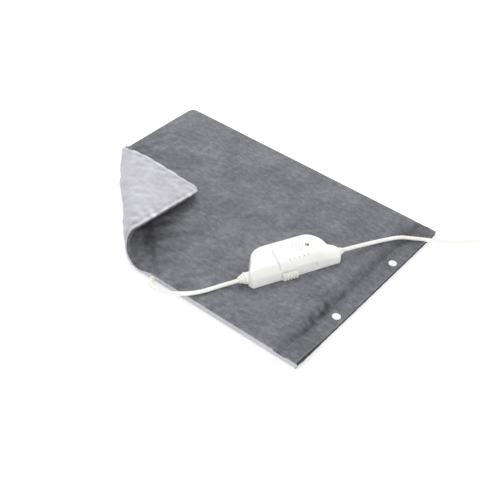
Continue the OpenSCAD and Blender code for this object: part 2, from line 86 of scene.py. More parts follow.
def waves(seed, length, degrees=None, spread=0.0):
    """A smooth random field of x and y, about -1 to 1, with wavelengths near length.

    With degrees, its waves run in that direction, give or take spread (in radians)."""
    count = 26
    rng = np.random.default_rng(seed)
    if degrees is None:
        angle = rng.uniform(0, math.pi, count)
    else:
        angle = math.radians(degrees) + rng.uniform(-spread, spread, count)
    k = 2 * math.pi / (length * rng.uniform(0.7, 1.5, count))
    phases = rng.uniform(0, 2 * math.pi, count)
    kx, ky = k * np.cos(angle), k * np.sin(angle)

    def field(x, y):
        total = np.zeros(np.shape(x))
        for a, b, phase in zip(kx, ky, phases):
            total = total + np.sin(a * x + b * y + phase)
        return total / math.sqrt(count)
    return field


# Fields of the nap's tone
tone_cloud = waves(seed=61, length=30.0)
tone_wander = waves(seed=62, length=16.0)
tone_patch = waves(seed=63, length=12.0)
tone_grain = waves(seed=64, length=11.0)
tone_fine = waves(seed=65, length=5.5)
# Fields of the upper sheet's relief
swells = waves(seed=5, length=85.0)
hollows = waves(seed=6, length=34.0)
ripples = waves(seed=7, length=11.0)
edge_ripples = waves(seed=8, length=8.5)
streaks = waves(seed=9, length=19.0, degrees=-42, spread=0.3)
rays = waves(seed=10, length=10.0, degrees=62, spread=0.25)
lumps = waves(seed=12, length=26.0)
hem_creases = waves(seed=31, length=13.0, degrees=90, spread=0.25)
# Fields of the lower sheet's relief
low_swells = waves(seed=15, length=70.0)
low_lumps = waves(seed=16, length=26.0)
low_streaks = waves(seed=19, length=15.0, degrees=-50, spread=0.45)
near_pucker = waves(seed=17, length=14.0, degrees=20, spread=0.5)
left_pucker = waves(seed=18, length=16.0, degrees=80, spread=0.5)
# Unevenness of the mouth's facing and side closure
mouth_jitter = waves(seed=51, length=14.0)


# ---------------------------------------------------------------- folded corner
# The curl turns about five lines across the corner, from the left edge to the near edge. The fold
# coordinate is k on line k, below 0.5 on the flat pad and above 5.5 on the flap.
FOLDS = 5
FLAT, FLAP = 0.4, 5.6   # the coordinate is held between these
ROUNDNESS = 0.8         # how far the curl follows a smooth arc rather than its fold lines
ARC_STEPS = 10          # turns of the smooth arc for each fold line


def station(f, first, step, bend):
    return first + step * (f - 1) + bend * (f - 1) * (f - 2)


def left_y(f):
    """y at which fold line f leaves the left edge."""
    return station(f, first=15.9, step=-10, bend=0.16)


def near_x(f):
    """x at which fold line f meets the near edge."""
    return station(f, first=-13.6, step=-18.1, bend=1.17)


def fold_line(f):
    """The two ends of fold line f, at half the pad's thickness."""
    return np.array([X_MIN, left_y(f), PAD_T / 2]), np.array([near_x(f), Y_MIN, PAD_T / 2])


def fold_angle(k):
    return math.radians(28 + 4.9 * (k - 1))


def turned(points, f, angle):
    """The points turned about fold line f, with one angle for each point."""
    a, b = fold_line(f)
    axis = (a - b) / np.linalg.norm(a - b)
    v = points - a
    c, s = np.cos(angle)[:, None], np.sin(angle)[:, None]
    return a + v * c + np.cross(axis, v) * s + axis * (v @ axis)[:, None] * (1 - c)


def corner_side(points, f):
    """Distance from fold line f in plan, positive towards the corner."""
    a, b = fold_line(f)
    d = b - a
    cross = d[0] * (points[:, 1] - a[1]) - d[1] * (points[:, 0] - a[0])
    return -cross / math.hypot(d[0], d[1])


def fold_coord(points):
    x, y = points[:, 0], points[:, 1]
    low, high = np.full(len(points), FLAT), np.full(len(points), FLAP)
    for _ in range(30):
        mid = (low + high) / 2
        ly = left_y(mid)
        beyond = (near_x(mid) - X_MIN) * (y - ly) - (Y_MIN - ly) * (x - X_MIN) < 0
        low = np.where(beyond, mid, low)
        high = np.where(beyond, high, mid)
    coord = np.where(corner_side(points, FLAT) <= 0, FLAT, (low + high) / 2)
    return np.where(corner_side(points, FLAP) >= 0, FLAP, coord)


def hinge_fold(points, angles):
    """Folds sharply; angles has one column for each fold line."""
    for k in range(FOLDS, 0, -1):
        points = turned(points, k, angles[:, k - 1])
    return points


def arc_fold(points, coord):
    """Folds in many small turns."""
    for i in range(FOLDS * ARC_STEPS - 1, -1, -1):
        start = 0.5 + i / ARC_STEPS
        part = np.clip((coord - start) * ARC_STEPS, 0, 1)
        if not np.any(part > 0):
            continue
        angle = part * fold_angle(i // ARC_STEPS + 1) / ARC_STEPS
        points = turned(points, start + 0.5 / ARC_STEPS, angle)
    return points


def fold(points, coord):
    """Curls the corner: a mix of the hinged fold and an arc that is made to meet it."""
    out = points.copy()
    moved = coord > 0.5
    pts, at = points[moved], coord[moved]
    angles = np.array([fold_angle(k) for k in range(1, FOLDS + 1)])
    share = np.stack([rise(at, k - 0.5, 1) for k in range(1, FOLDS + 1)], 1)
    hinge = hinge_fold(pts, angles[None] * share)
    arc = arc_fold(pts, at)
    zone = np.clip(np.floor(at - 0.5), 0, FOLDS - 1).astype(int)
    w = smooth_step(at - 0.5 - zone)
    for k in range(1, FOLDS + 1):
        # gap between the hinged and the smooth corner at the edge of zone k
        weight = np.where(zone == k, 1 - w, 0) + np.where(zone == k - 1, w, 0)
        s = weight > 0
        full = np.zeros((s.sum(), FOLDS))
        full[:, :k] = angles[:k]
        gap = hinge_fold(pts[s], full) - arc_fold(pts[s], np.full(s.sum(), k + 0.5))
        arc[s] += weight[s, None] * gap
    out[moved] = ROUNDNESS * arc + (1 - ROUNDNESS) * hinge
    return out


# ---------------------------------------------------------------- meshes
def vertex_normals(points, faces):
    normals = np.zeros_like(points)
    for size in sorted({len(f) for f in faces}):
        group = np.array([f for f in faces if len(f) == size])
        p = points[group]
        n = np.zeros((len(group), 3))
        for i in range(1, size - 1):
            n += np.cross(p[:, i] - p[:, 0], p[:, i + 1] - p[:, 0])
        for i in range(size):
            np.add.at(normals, group[:, i], n)
    return normals / np.maximum(np.linalg.norm(normals, axis=1), 1e-12)[:, None]


def mesh_object(name, points, faces, material, flat=None, normals=None, smooth=True):
    """flat: places on the unfolded fabric, for the texture; normals: one for each face corner."""
    me = bpy.data.meshes.new(name)
    me.from_pydata([tuple(v) for v in (np.asarray(points) * MM)], [],
                   [list(map(int, f)) for f in faces])
    me.update()
    if smooth:
        me.polygons.foreach_set("use_smooth", [True] * len(me.polygons))
    if flat is not None:
        attribute = me.attributes.new("fabric_co", "FLOAT_VECTOR", "POINT")
        attribute.data.foreach_set("vector", (np.asarray(flat) * MM).astype(np.float32).ravel())
    if normals is not None:
        me.normals_split_custom_set([tuple(n) for n in normals])
    ob = bpy.data.objects.new(name, me)
    SCENE.collection.objects.link(ob)
    me.materials.append(material)
    return ob


def solid(name, points, faces, material, slot, *replaced, body="pad", sharp=None,
          fabric=False, smooth=True):
    """A mesh with its normals made consistent, its edges above sharp degrees marked sharp."""
    ob = mesh_object(name, points, faces, material, points if fabric else None, smooth=smooth)
    bm = bmesh.new()
    bm.from_mesh(ob.data)
    bmesh.ops.recalc_face_normals(bm, faces=bm.faces)
    bm.to_mesh(ob.data)
    bm.free()
    for p in ob.data.polygons:
        p.use_smooth = True
    if sharp:
        ob.data.set_sharp_from_angle(angle=math.radians(sharp))
    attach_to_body(ob, body)
    if replaced:
        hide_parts(*replaced)
    return ob


def ring_quads(rows, count, start=0):
    """Quads between successive closed rings of count points."""
    quads = []
    for i in range(rows - 1):
        for k in range(count):
            a, b = start + i * count + k, start + i * count + (k + 1) % count
            quads.append((a, b, b + count, a + count))
    return quads


def loft_faces(rows, count, start=0):
    """Ring quads and a cap at each end."""
    last = start + (rows - 1) * count
    return ring_quads(rows, count, start) + [tuple(reversed(range(start, start + count))),
                                             tuple(range(last, last + count))]


def sweep_faces(rows, count):
    """As loft_faces, wound the other way."""
    last = (rows - 1) * count
    quads = [(a, d, c, b) for a, b, c, d in ring_quads(rows, count)]
    return quads + [tuple(range(count)), tuple(reversed(range(last, last + count)))]


def grid_lines(stops, steps):
    """Coordinates from the first stop to the last, with a step for each stretch."""
    lines = []
    for a, b, step in zip(stops, stops[1:], steps):
        n = max(1, int(round((b - a) / step)))
        lines += list(np.linspace(a, b, n + 1)[:-1])
    return lines + [stops[-1]]


# Sides of a sheet: near, mouth, far, left. Each starts at the corner with its own number, and its
# inward direction is the direction of the next side.
NEAR, MOUTH, FAR, LEFT = range(4)
ALONG = [np.array(v) for v in ([1, 0], [0, 1], [-1, 0], [0, -1])]
CORNER_BLEND = 14.0   # length of edge over which the columns gather into a round corner


def sheet(xs, ys, box, radii, rings, core_z):
    """A sheet over the rounded rectangle box: a core grid xs by ys at core_z, and rings round it.

    rings(side, x, y) lists (inset from the edge, z) from the edge inwards. Entries with z None
    are at that fraction of the way from the last inset ring to the core."""
    x_min, y_min, x_max, y_max = box
    nx, ny = len(xs), len(ys)
    points = [(x, y, core_z) for y in ys for x in xs]
    faces = [(j * nx + i, j * nx + i + 1, (j + 1) * nx + i + 1, (j + 1) * nx + i)
             for j in range(ny - 1) for i in range(nx - 1)]
    border = [(NEAR, i, 0) for i in range(nx - 1)]
    border += [(MOUTH, nx - 1, j) for j in range(ny - 1)]
    border += [(FAR, i, ny - 1) for i in range(nx - 1, 0, -1)]
    border += [(LEFT, 0, j) for j in range(ny - 1, 0, -1)]
    columns = [(side, xs[i], ys[j], j * nx + i) for side, i, j in border]
    corners = [np.array(c) for c in
               ([x_min, y_min], [x_max, y_min], [x_max, y_max], [x_min, y_max])]
    lengths = [x_max - x_min, y_max - y_min]
    gaps = [ys[0] - y_min, x_max - xs[-1], y_max - ys[-1], xs[0] - x_min]

    def at_inset(side, x, y, inset):
        """Plan point at an inset from the edge, for the column of core point x, y."""
        length = lengths[side % 2]
        following = (side + 1) % 4
        a = (np.array([x, y]) - corners[side]) @ ALONG[side]
        past_half = a > length / 2
        radius = radii[following if past_half else side]
        start = gaps[following if past_half else (side - 1) % 4]
        if past_half:
            a = length - a
        t = a - start
        deep = inset
        if t < CORNER_BLEND:
            half_arc = math.pi * radius / 4
            s = t / CORNER_BLEND * (half_arc + start + CORNER_BLEND - radius)
            if s < half_arc:
                phi = math.pi / 4 - s / radius
                r = max(radius - inset, 0.25)
                a, deep = radius - r * math.sin(phi), radius - r * math.cos(phi)
            else:
                a = radius + (s - half_arc)
        if past_half:
            a = length - a
        return corners[side] + ALONG[side] * a + ALONG[following] * deep

    core_count = len(points)
    for side, x, y, _ in columns:
        edge = at_inset(side, x, y, 0.0)
        for inset, z in rings(side, edge[0], edge[1]):
            if z is None:
                p = last + (np.array([x, y]) - last) * inset
                z = core_z
            else:
                p = last = at_inset(side, x, y, inset)
            points.append((p[0], p[1], z))
    ring_count = (len(points) - core_count) // len(columns)
    for i, column in enumerate(columns):
        j = (i + 1) % len(columns)
        a = core_count + i * ring_count
        b = core_count + j * ring_count
        chain_a = [*range(a, a + ring_count), column[3]]
        chain_b = [*range(b, b + ring_count), columns[j][3]]
        for k in range(ring_count):
            faces.append((chain_a[k], chain_b[k], chain_b[k + 1], chain_a[k + 1]))
    return np.array(points, float), faces


def cut(points, faces, planes):
    """Cuts a sheet along vertical planes: (point, plan direction, x beyond which it cuts)."""
    bm = bmesh.new()
    verts = [bm.verts.new(v) for v in points]
    for f in faces:
        bm.faces.new([verts[i] for i in f])
    for p, d, from_x in planes:
        normal = Vector((d[1], -d[0], 0)).normalized()
        fs = [f for f in bm.faces if f.calc_center_median().x > from_x]
        geom = list({v for f in fs for v in f.verts}) + list({e for f in fs for e in f.edges}) + fs
        bmesh.ops.bisect_plane(bm, geom=geom, dist=1e-5, plane_co=Vector((p[0], p[1], 0)),
                               plane_no=normal)
    bm.verts.index_update()
    out = np.array([v.co[:] for v in bm.verts])
    out_faces = [tuple(v.index for v in f.verts) for f in bm.faces]
    bm.free()
    return out, out_faces


# ---------------------------------------------------------------- heights of the pad
def mouth_height(y):
    """Height of the hem along the mouth: full at the near corner, falling to flat."""
    return 4.85 + 4.75 * fall(y, -152.0, 66.0)


def layers(points, coord):
    """Presses the sheet between the pad's own bottom and top; also gives the share of PAD_T left."""
    x, y = points[:, 0], points[:, 1]
    from_near, from_left, from_far = y - Y_MIN, x - X_MIN, Y_MAX - y
    curled = rise(coord, 0.7, 1.3)
    far_end = rise(from_near, 85, 55)
    most = 6.4          # drops of the top add up towards this limit
    drops = [5.2 * fall(from_far, 0, 46),
             4.6 * fall(from_left, 0, 42) * (1 - curled),
             5.8 * fall(from_near, 0, 36) * curled,
             5.0 * fall(from_left, 0, 36) * curled * (1 - far_end),
             (PAD_T - mouth_height(y)) * rise(x, 164.5, 14.2)]
    keep = np.ones(len(x))
    for drop in drops:
        keep = keep * (1 - drop / most)
    top = np.maximum(PAD_T - most * (1 - keep), 4.6)
    low = 6.4 * fall(from_left, 0, 60) * curled * far_end
    low = low - 1.4 * hill(coord, 2.4, 1.5) * fall(from_near, 0, 45) * curled
    out = points.copy()
    out[:, 2] = low + points[:, 2] * (top - low) / PAD_T
    return out, np.clip((top - low) / PAD_T, 0.42, 1.0)


def mouth_relief(x, y):
    """Rise of the upper sheet at the hem: a crease at the stitching, then a fuller turned hem."""
    amount = fall(y, 138, 9) * (0.15 + 0.85 * rise(y, -148, 12))
    depth = amount * (1.0 + 0.9 * hill(y, -88, 30)) * np.where(mouth_height(y) > 8.5, 0.7, 1.0)
    return -depth * hill(x, HEM_X - 0.8, 3.2) + 0.45 * amount * hill(x, 190.5, 6.5)


def edge_distance(x, y):
    return np.minimum(np.minimum(x - X_MIN, X_MAX - x), np.minimum(y - Y_MIN, Y_MAX - y))


# ---------------------------------------------------------------- fabric pieces
# Parts of a sheet by number, in the order they are made
PART_NAMES = {-5: "hem_0", -4: "hem_1", -3: "hem_2", -2: "hem_3", -1: "hem_4", 0: "body",
              1: "fold_1", 2: "fold_2", 3: "fold_3", 4: "fold_4", 5: "fold_5", 6: "flap"}
HEM_CUTS = [-MOUTH_OUTER, -MOUTH_INNER, MOUTH_INNER, MOUTH_OUTER]


def part_numbers(centres, mouth):
    """Part number of each face, from the face centres."""
    zone = np.floor(fold_coord(centres) - 0.5).astype(int) + 1
    zone = np.clip(zone, 1, FOLDS)
    zone = np.where(corner_side(centres, FOLDS + 0.5) >= 0, FOLDS + 1, zone)
    zone = np.where(corner_side(centres, 0.5) <= 0, 0, zone)
    if mouth:
        hem = (zone == 0) & (centres[:, 0] > HEM_X)
        zone = np.where(hem, np.searchsorted(HEM_CUTS, centres[:, 1]) - 5, zone)
    return zone


def blend_bodies(ob, weight):
    """Bakes the transform into the mesh; weight, clipped and given for the outer skin and again for
    the inner, is not used further.
    """
    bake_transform(ob)
    weight = np.clip(np.concatenate([weight, weight]), 0, 1).astype(np.float32)


def attach(ob, part, coord, y):
    """Ties the hem's middle to the mouth, the body and outer hem to the pad, the flap to its body;
    the rest go to blend_bodies.
    """
    if part == -3:
        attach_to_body(ob, "mouth")
    elif part in (-4, -2):
        share = smooth_step((MOUTH_OUTER - np.abs(y)) / (MOUTH_OUTER - MOUTH_INNER))
        blend_bodies(ob, share)
    elif part <= 0:
        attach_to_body(ob, "pad")
    elif part == FOLDS + 1:
        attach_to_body(ob, "corner_flap")
    else:
        blend_bodies(ob, rise(coord, part - 0.5, 1))


def closed_piece(name, faces, outer, inner, outer_n, inner_n, material, flat, tone):
    """A closed skin: the outer faces, the inner faces and a wall along every open edge."""
    used = sorted({v for f in faces for v in f})
    index = {v: i for i, v in enumerate(used)}
    n = len(used)
    outer_faces = [[index[v] for v in f] for f in faces]
    inner_faces = [[index[v] + n for v in reversed(f)] for f in faces]
    edges = dict.fromkeys(e for f in outer_faces for e in zip(f, f[1:] + f[:1]))
    walls = [[b, a, a + n, b + n] for a, b in edges if (b, a) not in edges]
    points = np.concatenate([outer[used], inner[used]])
    skin_normals = np.concatenate([outer_n[used], -inner_n[used]])
    normals = []
    for f in outer_faces + inner_faces:
        normals.extend(skin_normals[f])
    for f in walls:
        p = points[f]
        normal = np.cross(p[2] - p[0], p[3] - p[1])
        normals.extend([normal / max(np.linalg.norm(normal), 1e-9)] * 4)
    ob = mesh_object(name, points, outer_faces + inner_faces + walls, material,
                     np.concatenate([flat[used], flat[used]]), normals)
    attribute = ob.data.attributes.new("tone", "FLOAT", "POINT")
    attribute.data.foreach_set("value", np.concatenate([tone[used]] * 2).astype(np.float32))
    return ob, used


def fabric(prefix, flat_sheet, displace, material, slot, replaced, tone=None, underside=False,
           mouth=False, felt_layer=False):
    """Displaces, thickens, folds and splits a flat sheet; replaced maps parts to CAD nodes."""
    planes = []
    for k in range(FOLDS + 1):
        a, b = fold_line(k + 0.5)
        planes.append((a[:2], (b - a)[:2], -math.inf))
    if mouth:
        planes.append(((HEM_X, 0), (0, 1), -math.inf))
        planes += [((0, y), (1, 0), HEM_X) for y in HEM_CUTS]
    flat, faces = cut(*flat_sheet, planes)
    if underside:
        faces = [tuple(reversed(f)) for f in faces]
    coord = fold_coord(flat)
    normals = vertex_normals(flat, faces)
    points = flat + normals * displace(flat, normals)[:, None]
    # the turned corner has drawn in a little from the left edge
    points[:, 0] += 2.6 * rise(coord, 0.9, 3.0) * fall(flat[:, 0] - X_MIN, 0, 70.0)
    points, squeeze = layers(points, coord)
    if mouth:
        points[:, 2] += mouth_relief(points[:, 0], points[:, 1])
    normals = vertex_normals(points, faces)
    if felt_layer:
        thickness = 1.7 * squeeze
    else:
        thickness = 1.15 * np.where(coord > 0.7, 0.8, 1.0)
    outer = fold(points, coord)
    inner = fold(points - normals * thickness[:, None], coord)
    outer_n, inner_n = vertex_normals(outer, faces), vertex_normals(inner, faces)
    shade = np.zeros(len(flat)) if tone is None else np.clip(tone(flat, coord), -1.25, 1)
    numbers = part_numbers(np.array([flat[list(f)].mean(0) for f in faces]), mouth)
    for part in sorted(set(numbers.tolist())):
        part_faces = [faces[i] for i in np.flatnonzero(numbers == part)]
        part_name = PART_NAMES[part]
        ob, used = closed_piece(f"{prefix}_{part_name}", part_faces, outer, inner,
                                outer_n, inner_n, material, flat, shade)
        attach(ob, part, coord[used], flat[used][:, 1])
        if part_name in replaced:
            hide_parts(replaced[part_name])


# ---------------------------------------------------------------- material building blocks
def new_material(name):
    material = bpy.data.materials.new(name)
    material.use_nodes = True
    tree = material.node_tree
    tree.nodes.clear()
    out = tree.nodes.new("ShaderNodeOutputMaterial")
    shader = tree.nodes.new("ShaderNodeBsdfPrincipled")
    tree.links.new(shader.outputs[0], out.inputs[0])
    return material, tree, shader


def set_inputs(shader, values):
    for name, value in values.items():
        shader.inputs[name].default_value = value


def linear(color):
    """sRGB to linear RGBA."""
    return (*(c / 12.92 if c <= 0.04045 else ((c + 0.055) / 1.055) ** 2.4 for c in color), 1)


def scaled(color, factor):
    return tuple(min(1, c * factor) for c in color)


def mapping(tree, vector, scale, degrees=0):
    node = tree.nodes.new("ShaderNodeMapping")
    set_inputs(node, {"Scale": scale, "Rotation": (0, 0, math.radians(degrees))})
    tree.links.new(vector, node.inputs[0])
    return node.outputs[0]


def noise(tree, vector, scale, detail=3.0, roughness=0.55):
    node = tree.nodes.new("ShaderNodeTexNoise")
    set_inputs(node, {"Scale": scale, "Detail": detail, "Roughness": roughness})
    tree.links.new(vector, node.inputs["Vector"])
    return node.outputs["Fac"]


def ramp(tree, factor, stops):
    """Colour ramp; stops are (position, sRGB colour)."""
    node = tree.nodes.new("ShaderNodeValToRGB")
    while len(node.color_ramp.elements) < len(stops):
        node.color_ramp.elements.new(0.5)
    for element, (position, color) in zip(node.color_ramp.elements, stops):
        element.position = position
        element.color = linear(color)
    tree.links.new(factor, node.inputs[0])
    return node.outputs[0]


def math_node(tree, operation, a, b):
    node = tree.nodes.new("ShaderNodeMath")
    node.operation = operation
    for i, value in enumerate((a, b)):
        if isinstance(value, (int, float)):
            node.inputs[i].default_value = value
        else:
            tree.links.new(value, node.inputs[i])
    return node.outputs[0]


def scale_add(tree, value, factor, offset):
    return math_node(tree, "ADD", math_node(tree, "MULTIPLY", value, factor), offset)


def add_bump(tree, shader, parts):
    """Chained bumps; parts are (height output, distance in metres, strength)."""
    previous = None
    for height, distance, strength in parts:
        node = tree.nodes.new("ShaderNodeBump")
        set_inputs(node, {"Distance": distance, "Strength": strength})
        tree.links.new(height, node.inputs["Height"])
        if previous is not None:
            tree.links.new(previous, node.inputs["Normal"])
        previous = node.outputs[0]
    tree.links.new(previous, shader.inputs["Normal"])


def attribute_node(tree, name):
    node = tree.nodes.new("ShaderNodeAttribute")
    node.attribute_name = name
    return node


def object_coords(tree):
    return tree.nodes.new("ShaderNodeTexCoord").outputs["Object"]


# ---------------------------------------------------------------- kinds of material
def fleece(name, base, spread, sheen, sheen_tint, relief=1.0):
    """Brushed fleece: soft cloudy nap, brushed streaks, short fibres, shaded by "tone"."""
    material, tree, shader = new_material(name)
    at = attribute_node(tree, "fabric_co").outputs["Vector"]
    cloud = noise(tree, at, scale=22.0, detail=3.0, roughness=0.6)
    nap = noise(tree, mapping(tree, at, (1.0, 1.7, 1.0), 24), scale=150.0, detail=5.0,
                roughness=0.68)
    brush = noise(tree, mapping(tree, at, (2.1, 1.0, 1.0), -31), scale=330.0, detail=3.0,
                  roughness=0.6)
    fibres = noise(tree, mapping(tree, at, (1.0, 3.0, 1.0), 40), scale=2600.0, detail=2.0,
                   roughness=0.7)
    total = math_node(tree, "MULTIPLY", cloud, 0.30)
    for field, weight in ((nap, 0.42), (brush, 0.20), (fibres, 0.10)):
        total = math_node(tree, "ADD", total, math_node(tree, "MULTIPLY", field, weight))
    color = ramp(tree, total, [(0.40, scaled(base, 1 - spread)), (0.51, base),
                               (0.62, scaled(base, 1 + spread))])
    # tone holds painted shade and painted highlights as well as the nap's own tone; it scales the
    # colour
    tone = attribute_node(tree, "tone").outputs["Fac"]
    brightness = scale_add(tree, tone, factor=0.62, offset=1.0)
    shaded = tree.nodes.new("ShaderNodeVectorMath")
    shaded.operation = "SCALE"
    tree.links.new(color, shaded.inputs[0])
    tree.links.new(brightness, shaded.inputs["Scale"])
    tree.links.new(shaded.outputs[0], shader.inputs["Base Color"])
    set_inputs(shader, {"Roughness": 0.95, "Specular IOR Level": 0.15, "Sheen Weight": sheen,
                        "Sheen Roughness": 0.45, "Sheen Tint": linear(sheen_tint)})
    add_bump(tree, shader, [(nap, 0.0007 * relief, 0.55), (brush, 0.00045 * relief, 0.5),
                            (fibres, 0.00012 * relief, 0.5)])
    return material


def plastic(name, base, roughness, specular=0.5, subsurface=0.0, grain=0.3, variation=0.02,
            coat=0.0):
    """Moulded plastic: slight unevenness, spark texture of strength grain, uneven gloss."""
    material, tree, shader = new_material(name)
    at = object_coords(tree)
    slow = noise(tree, at, scale=35.0, detail=2.0)
    spark = noise(tree, at, scale=2400.0, detail=2.0, roughness=0.6)
    color = ramp(tree, slow, [(0.35, scaled(base, 1 - variation)),
                              (0.65, scaled(base, 1 + variation))])
    tree.links.new(color, shader.inputs["Base Color"])
    gloss = scale_add(tree, slow, factor=0.12, offset=roughness - 0.06)
    tree.links.new(gloss, shader.inputs["Roughness"])
    set_inputs(shader, {"Specular IOR Level": specular})
    if subsurface:
        set_inputs(shader, {"Subsurface Weight": subsurface, "Subsurface Scale": 1.0,
                            "Subsurface Radius": (0.002, 0.0016, 0.0012)})
    if coat:
        set_inputs(shader, {"Coat Weight": coat, "Coat Roughness": 0.15})
    add_bump(tree, shader, [(slow, 0.0003, 0.12), (spark, 0.00004, grain)])
    return material


def metal(name, base, roughness, scratch=1.0):
    material, tree, shader = new_material(name)
    at = object_coords(tree)
    slow = noise(tree, at, scale=60.0, detail=3.0)
    scratches = noise(tree, mapping(tree, at, (1.0, 12.0, 1.0)), scale=700.0, detail=3.0,
                      roughness=0.65)
    color = ramp(tree, slow, [(0.3, scaled(base, 0.9)), (0.7, base)])
    tree.links.new(color, shader.inputs["Base Color"])
    set_inputs(shader, {"Metallic": 1.0})
    gloss = scale_add(tree, scratches, factor=0.18 * scratch, offset=roughness)
    tree.links.new(gloss, shader.inputs["Roughness"])
    add_bump(tree, shader, [(scratches, 0.00003, 0.4)])
    return material


def felt(name, base):
    material, tree, shader = new_material(name)
    at = object_coords(tree)
    matted = noise(tree, at, scale=300.0, detail=4.0, roughness=0.65)
    fibres = noise(tree, at, scale=2500.0, detail=2.0, roughness=0.6)
    color = ramp(tree, matted, [(0.35, scaled(base, 0.93)), (0.65, base)])
    tree.links.new(color, shader.inputs["Base Color"])
    set_inputs(shader, {"Roughness": 0.97, "Sheen Weight": 0.3})
    add_bump(tree, shader, [(matted, 0.0004, 0.5), (fibres, 0.0001, 0.6)])
    return material


# ---------------------------------------------------------------- materials
DARK_FLEECE = fleece("fleece_dark_grey", (0.455, 0.458, 0.478), spread=0.17, sheen=0.35,
                     sheen_tint=(0.72, 0.73, 0.78))
LIGHT_FLEECE = fleece("fleece_light_grey", (0.755, 0.755, 0.778), spread=0.05, sheen=0.25,
                      sheen_tint=(0.95, 0.95, 1.0), relief=0.8)
EDGE_FLEECE = fleece("fleece_dark_edge", (0.36, 0.362, 0.38), spread=0.12, sheen=0.25,
                     sheen_tint=(0.7, 0.7, 0.75))
# dark fleece of the mouth's side closure, darkened further as painted shade of the gap behind the
# hem
SHADED_MOUTH_FLEECE = fleece("fleece_mouth_painted_shade", (0.25, 0.252, 0.265), spread=0.12, sheen=0.1,
                      sheen_tint=(0.7, 0.7, 0.75))
MAT_FELT = felt("felt_mat", (0.86, 0.85, 0.82))
CASING = plastic("casing_white_abs", (0.955, 0.955, 0.940), roughness=0.34, subsurface=0.15,
                 coat=0.15)
KNOB = plastic("knob_white_abs", (0.930, 0.930, 0.905), roughness=0.38, subsurface=0.10, coat=0.1)
STUD = plastic("stud_white_acetal", (0.95, 0.95, 0.94), roughness=0.32, subsurface=0.2)
CORD = plastic("cord_white_pvc", (0.945, 0.942, 0.925), roughness=0.42, specular=0.45,
               subsurface=0.15, grain=0.2)
RELIEF = plastic("relief_white_pvc", (0.935, 0.932, 0.905), roughness=0.46, specular=0.45,
                 subsurface=0.1)
LENS = plastic("lens_smoked", (0.13, 0.13, 0.15), roughness=0.12, specular=0.6, grain=0.0,
               coat=0.6)
PRINT = plastic("print_grey", (0.66, 0.67, 0.68), roughness=0.55, specular=0.3, grain=0.1)
# painted shade: grey of the strip in the groove across the casing's top
GROOVE_SHADE_GREY = plastic("groove_painted_shade_grey", (0.86, 0.86, 0.86), roughness=0.50, specular=0.3,
                       grain=0.1)
RING_PRINT = plastic("print_ring_grey", (0.80, 0.80, 0.80), roughness=0.50, specular=0.3,
                     grain=0.1)
DARK_PLASTIC = plastic("plastic_dark", (0.30, 0.30, 0.33), roughness=0.5, specular=0.4,
                       grain=0.6, variation=0.06)
CHIP = plastic("chip_epoxy", (0.16, 0.16, 0.18), roughness=0.42, specular=0.4, grain=0.5,
               variation=0.08)
BOARD = plastic("board_laminate", (0.20, 0.42, 0.26), roughness=0.40, grain=0.2, variation=0.12)
LED = plastic("led_red", (0.80, 0.22, 0.18), roughness=0.15, specular=0.6, grain=0.0)
CERAMIC = plastic("ceramic_white", (0.90, 0.89, 0.86), roughness=0.55, specular=0.35, grain=0.5,
                  variation=0.04)
COPPER = metal("copper_wire", (0.86, 0.55, 0.38), roughness=0.28)
BRASS = metal("brass_contact", (0.84, 0.72, 0.42), roughness=0.25)
NICKEL = metal("nickel_plate", (0.80, 0.79, 0.76), roughness=0.20, scratch=0.6)
STEEL = metal("spring_steel", (0.72, 0.73, 0.75), roughness=0.25)
THREAD = felt("thread_grey", (0.34, 0.34, 0.36))

# CAD pieces by material; the others are casing plastic
CAD_MATERIALS = [
    (COPPER, "heating_wire heating_wire_corner conductor_tails"),
    (CERAMIC, "thermal_cutouts"),
    (RELIEF, "cord_entry_block pad_cord_grommet"),
    (STEEL, "crimp_sleeves thermal_fuse detent_spring shell_screws"),
    (STUD, "snap_sockets snap_studs snap_posts"),
    (BOARD, "circuit_board"),
    (CHIP, "board_components"),
    (LED, "indicator_led"),
    (DARK_PLASTIC, "terminal_block contact_carrier plug_pin_sleeves plug_pin_carrier"),
    (BRASS, "fixed_contacts bridge_contact"),
    (NICKEL, "plug_pins"),
]
cad_look = {node: material for material, nodes in CAD_MATERIALS for node in nodes.split()}
for node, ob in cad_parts.items():
    material = cad_look.get(node, CASING)
    if len(ob.material_slots) == 0:
        ob.data.materials.append(material)
    for material_slot in ob.material_slots:
        material_slot.link = "OBJECT"
        material_slot.material = material


# ---------------------------------------------------------------- cover, both sheets
COVER_BOX = (X_MIN, Y_MIN, X_MAX, Y_MAX)
COVER_RADII = [11.0, 1.5, 1.5, 11.0]    # corners: near left, near mouth, far mouth, far left
# Steps are finest at the curled corner and at the mouth
STEPS_X, STEPS_Y = (1.9, 2.4, 1.6), (1.9, 2.5)
COVER_XS = grid_lines((-188.0, -20.0, 156.0, 188.0), STEPS_X)
COVER_YS = grid_lines((-138.0, 30.0, 138.0), STEPS_Y)


def curl_at(x, y):
    """0 on the flat pad to 1 on the curled corner."""
    return rise(fold_coord(np.array([[x, y]]))[0], 0.5, 1.0)


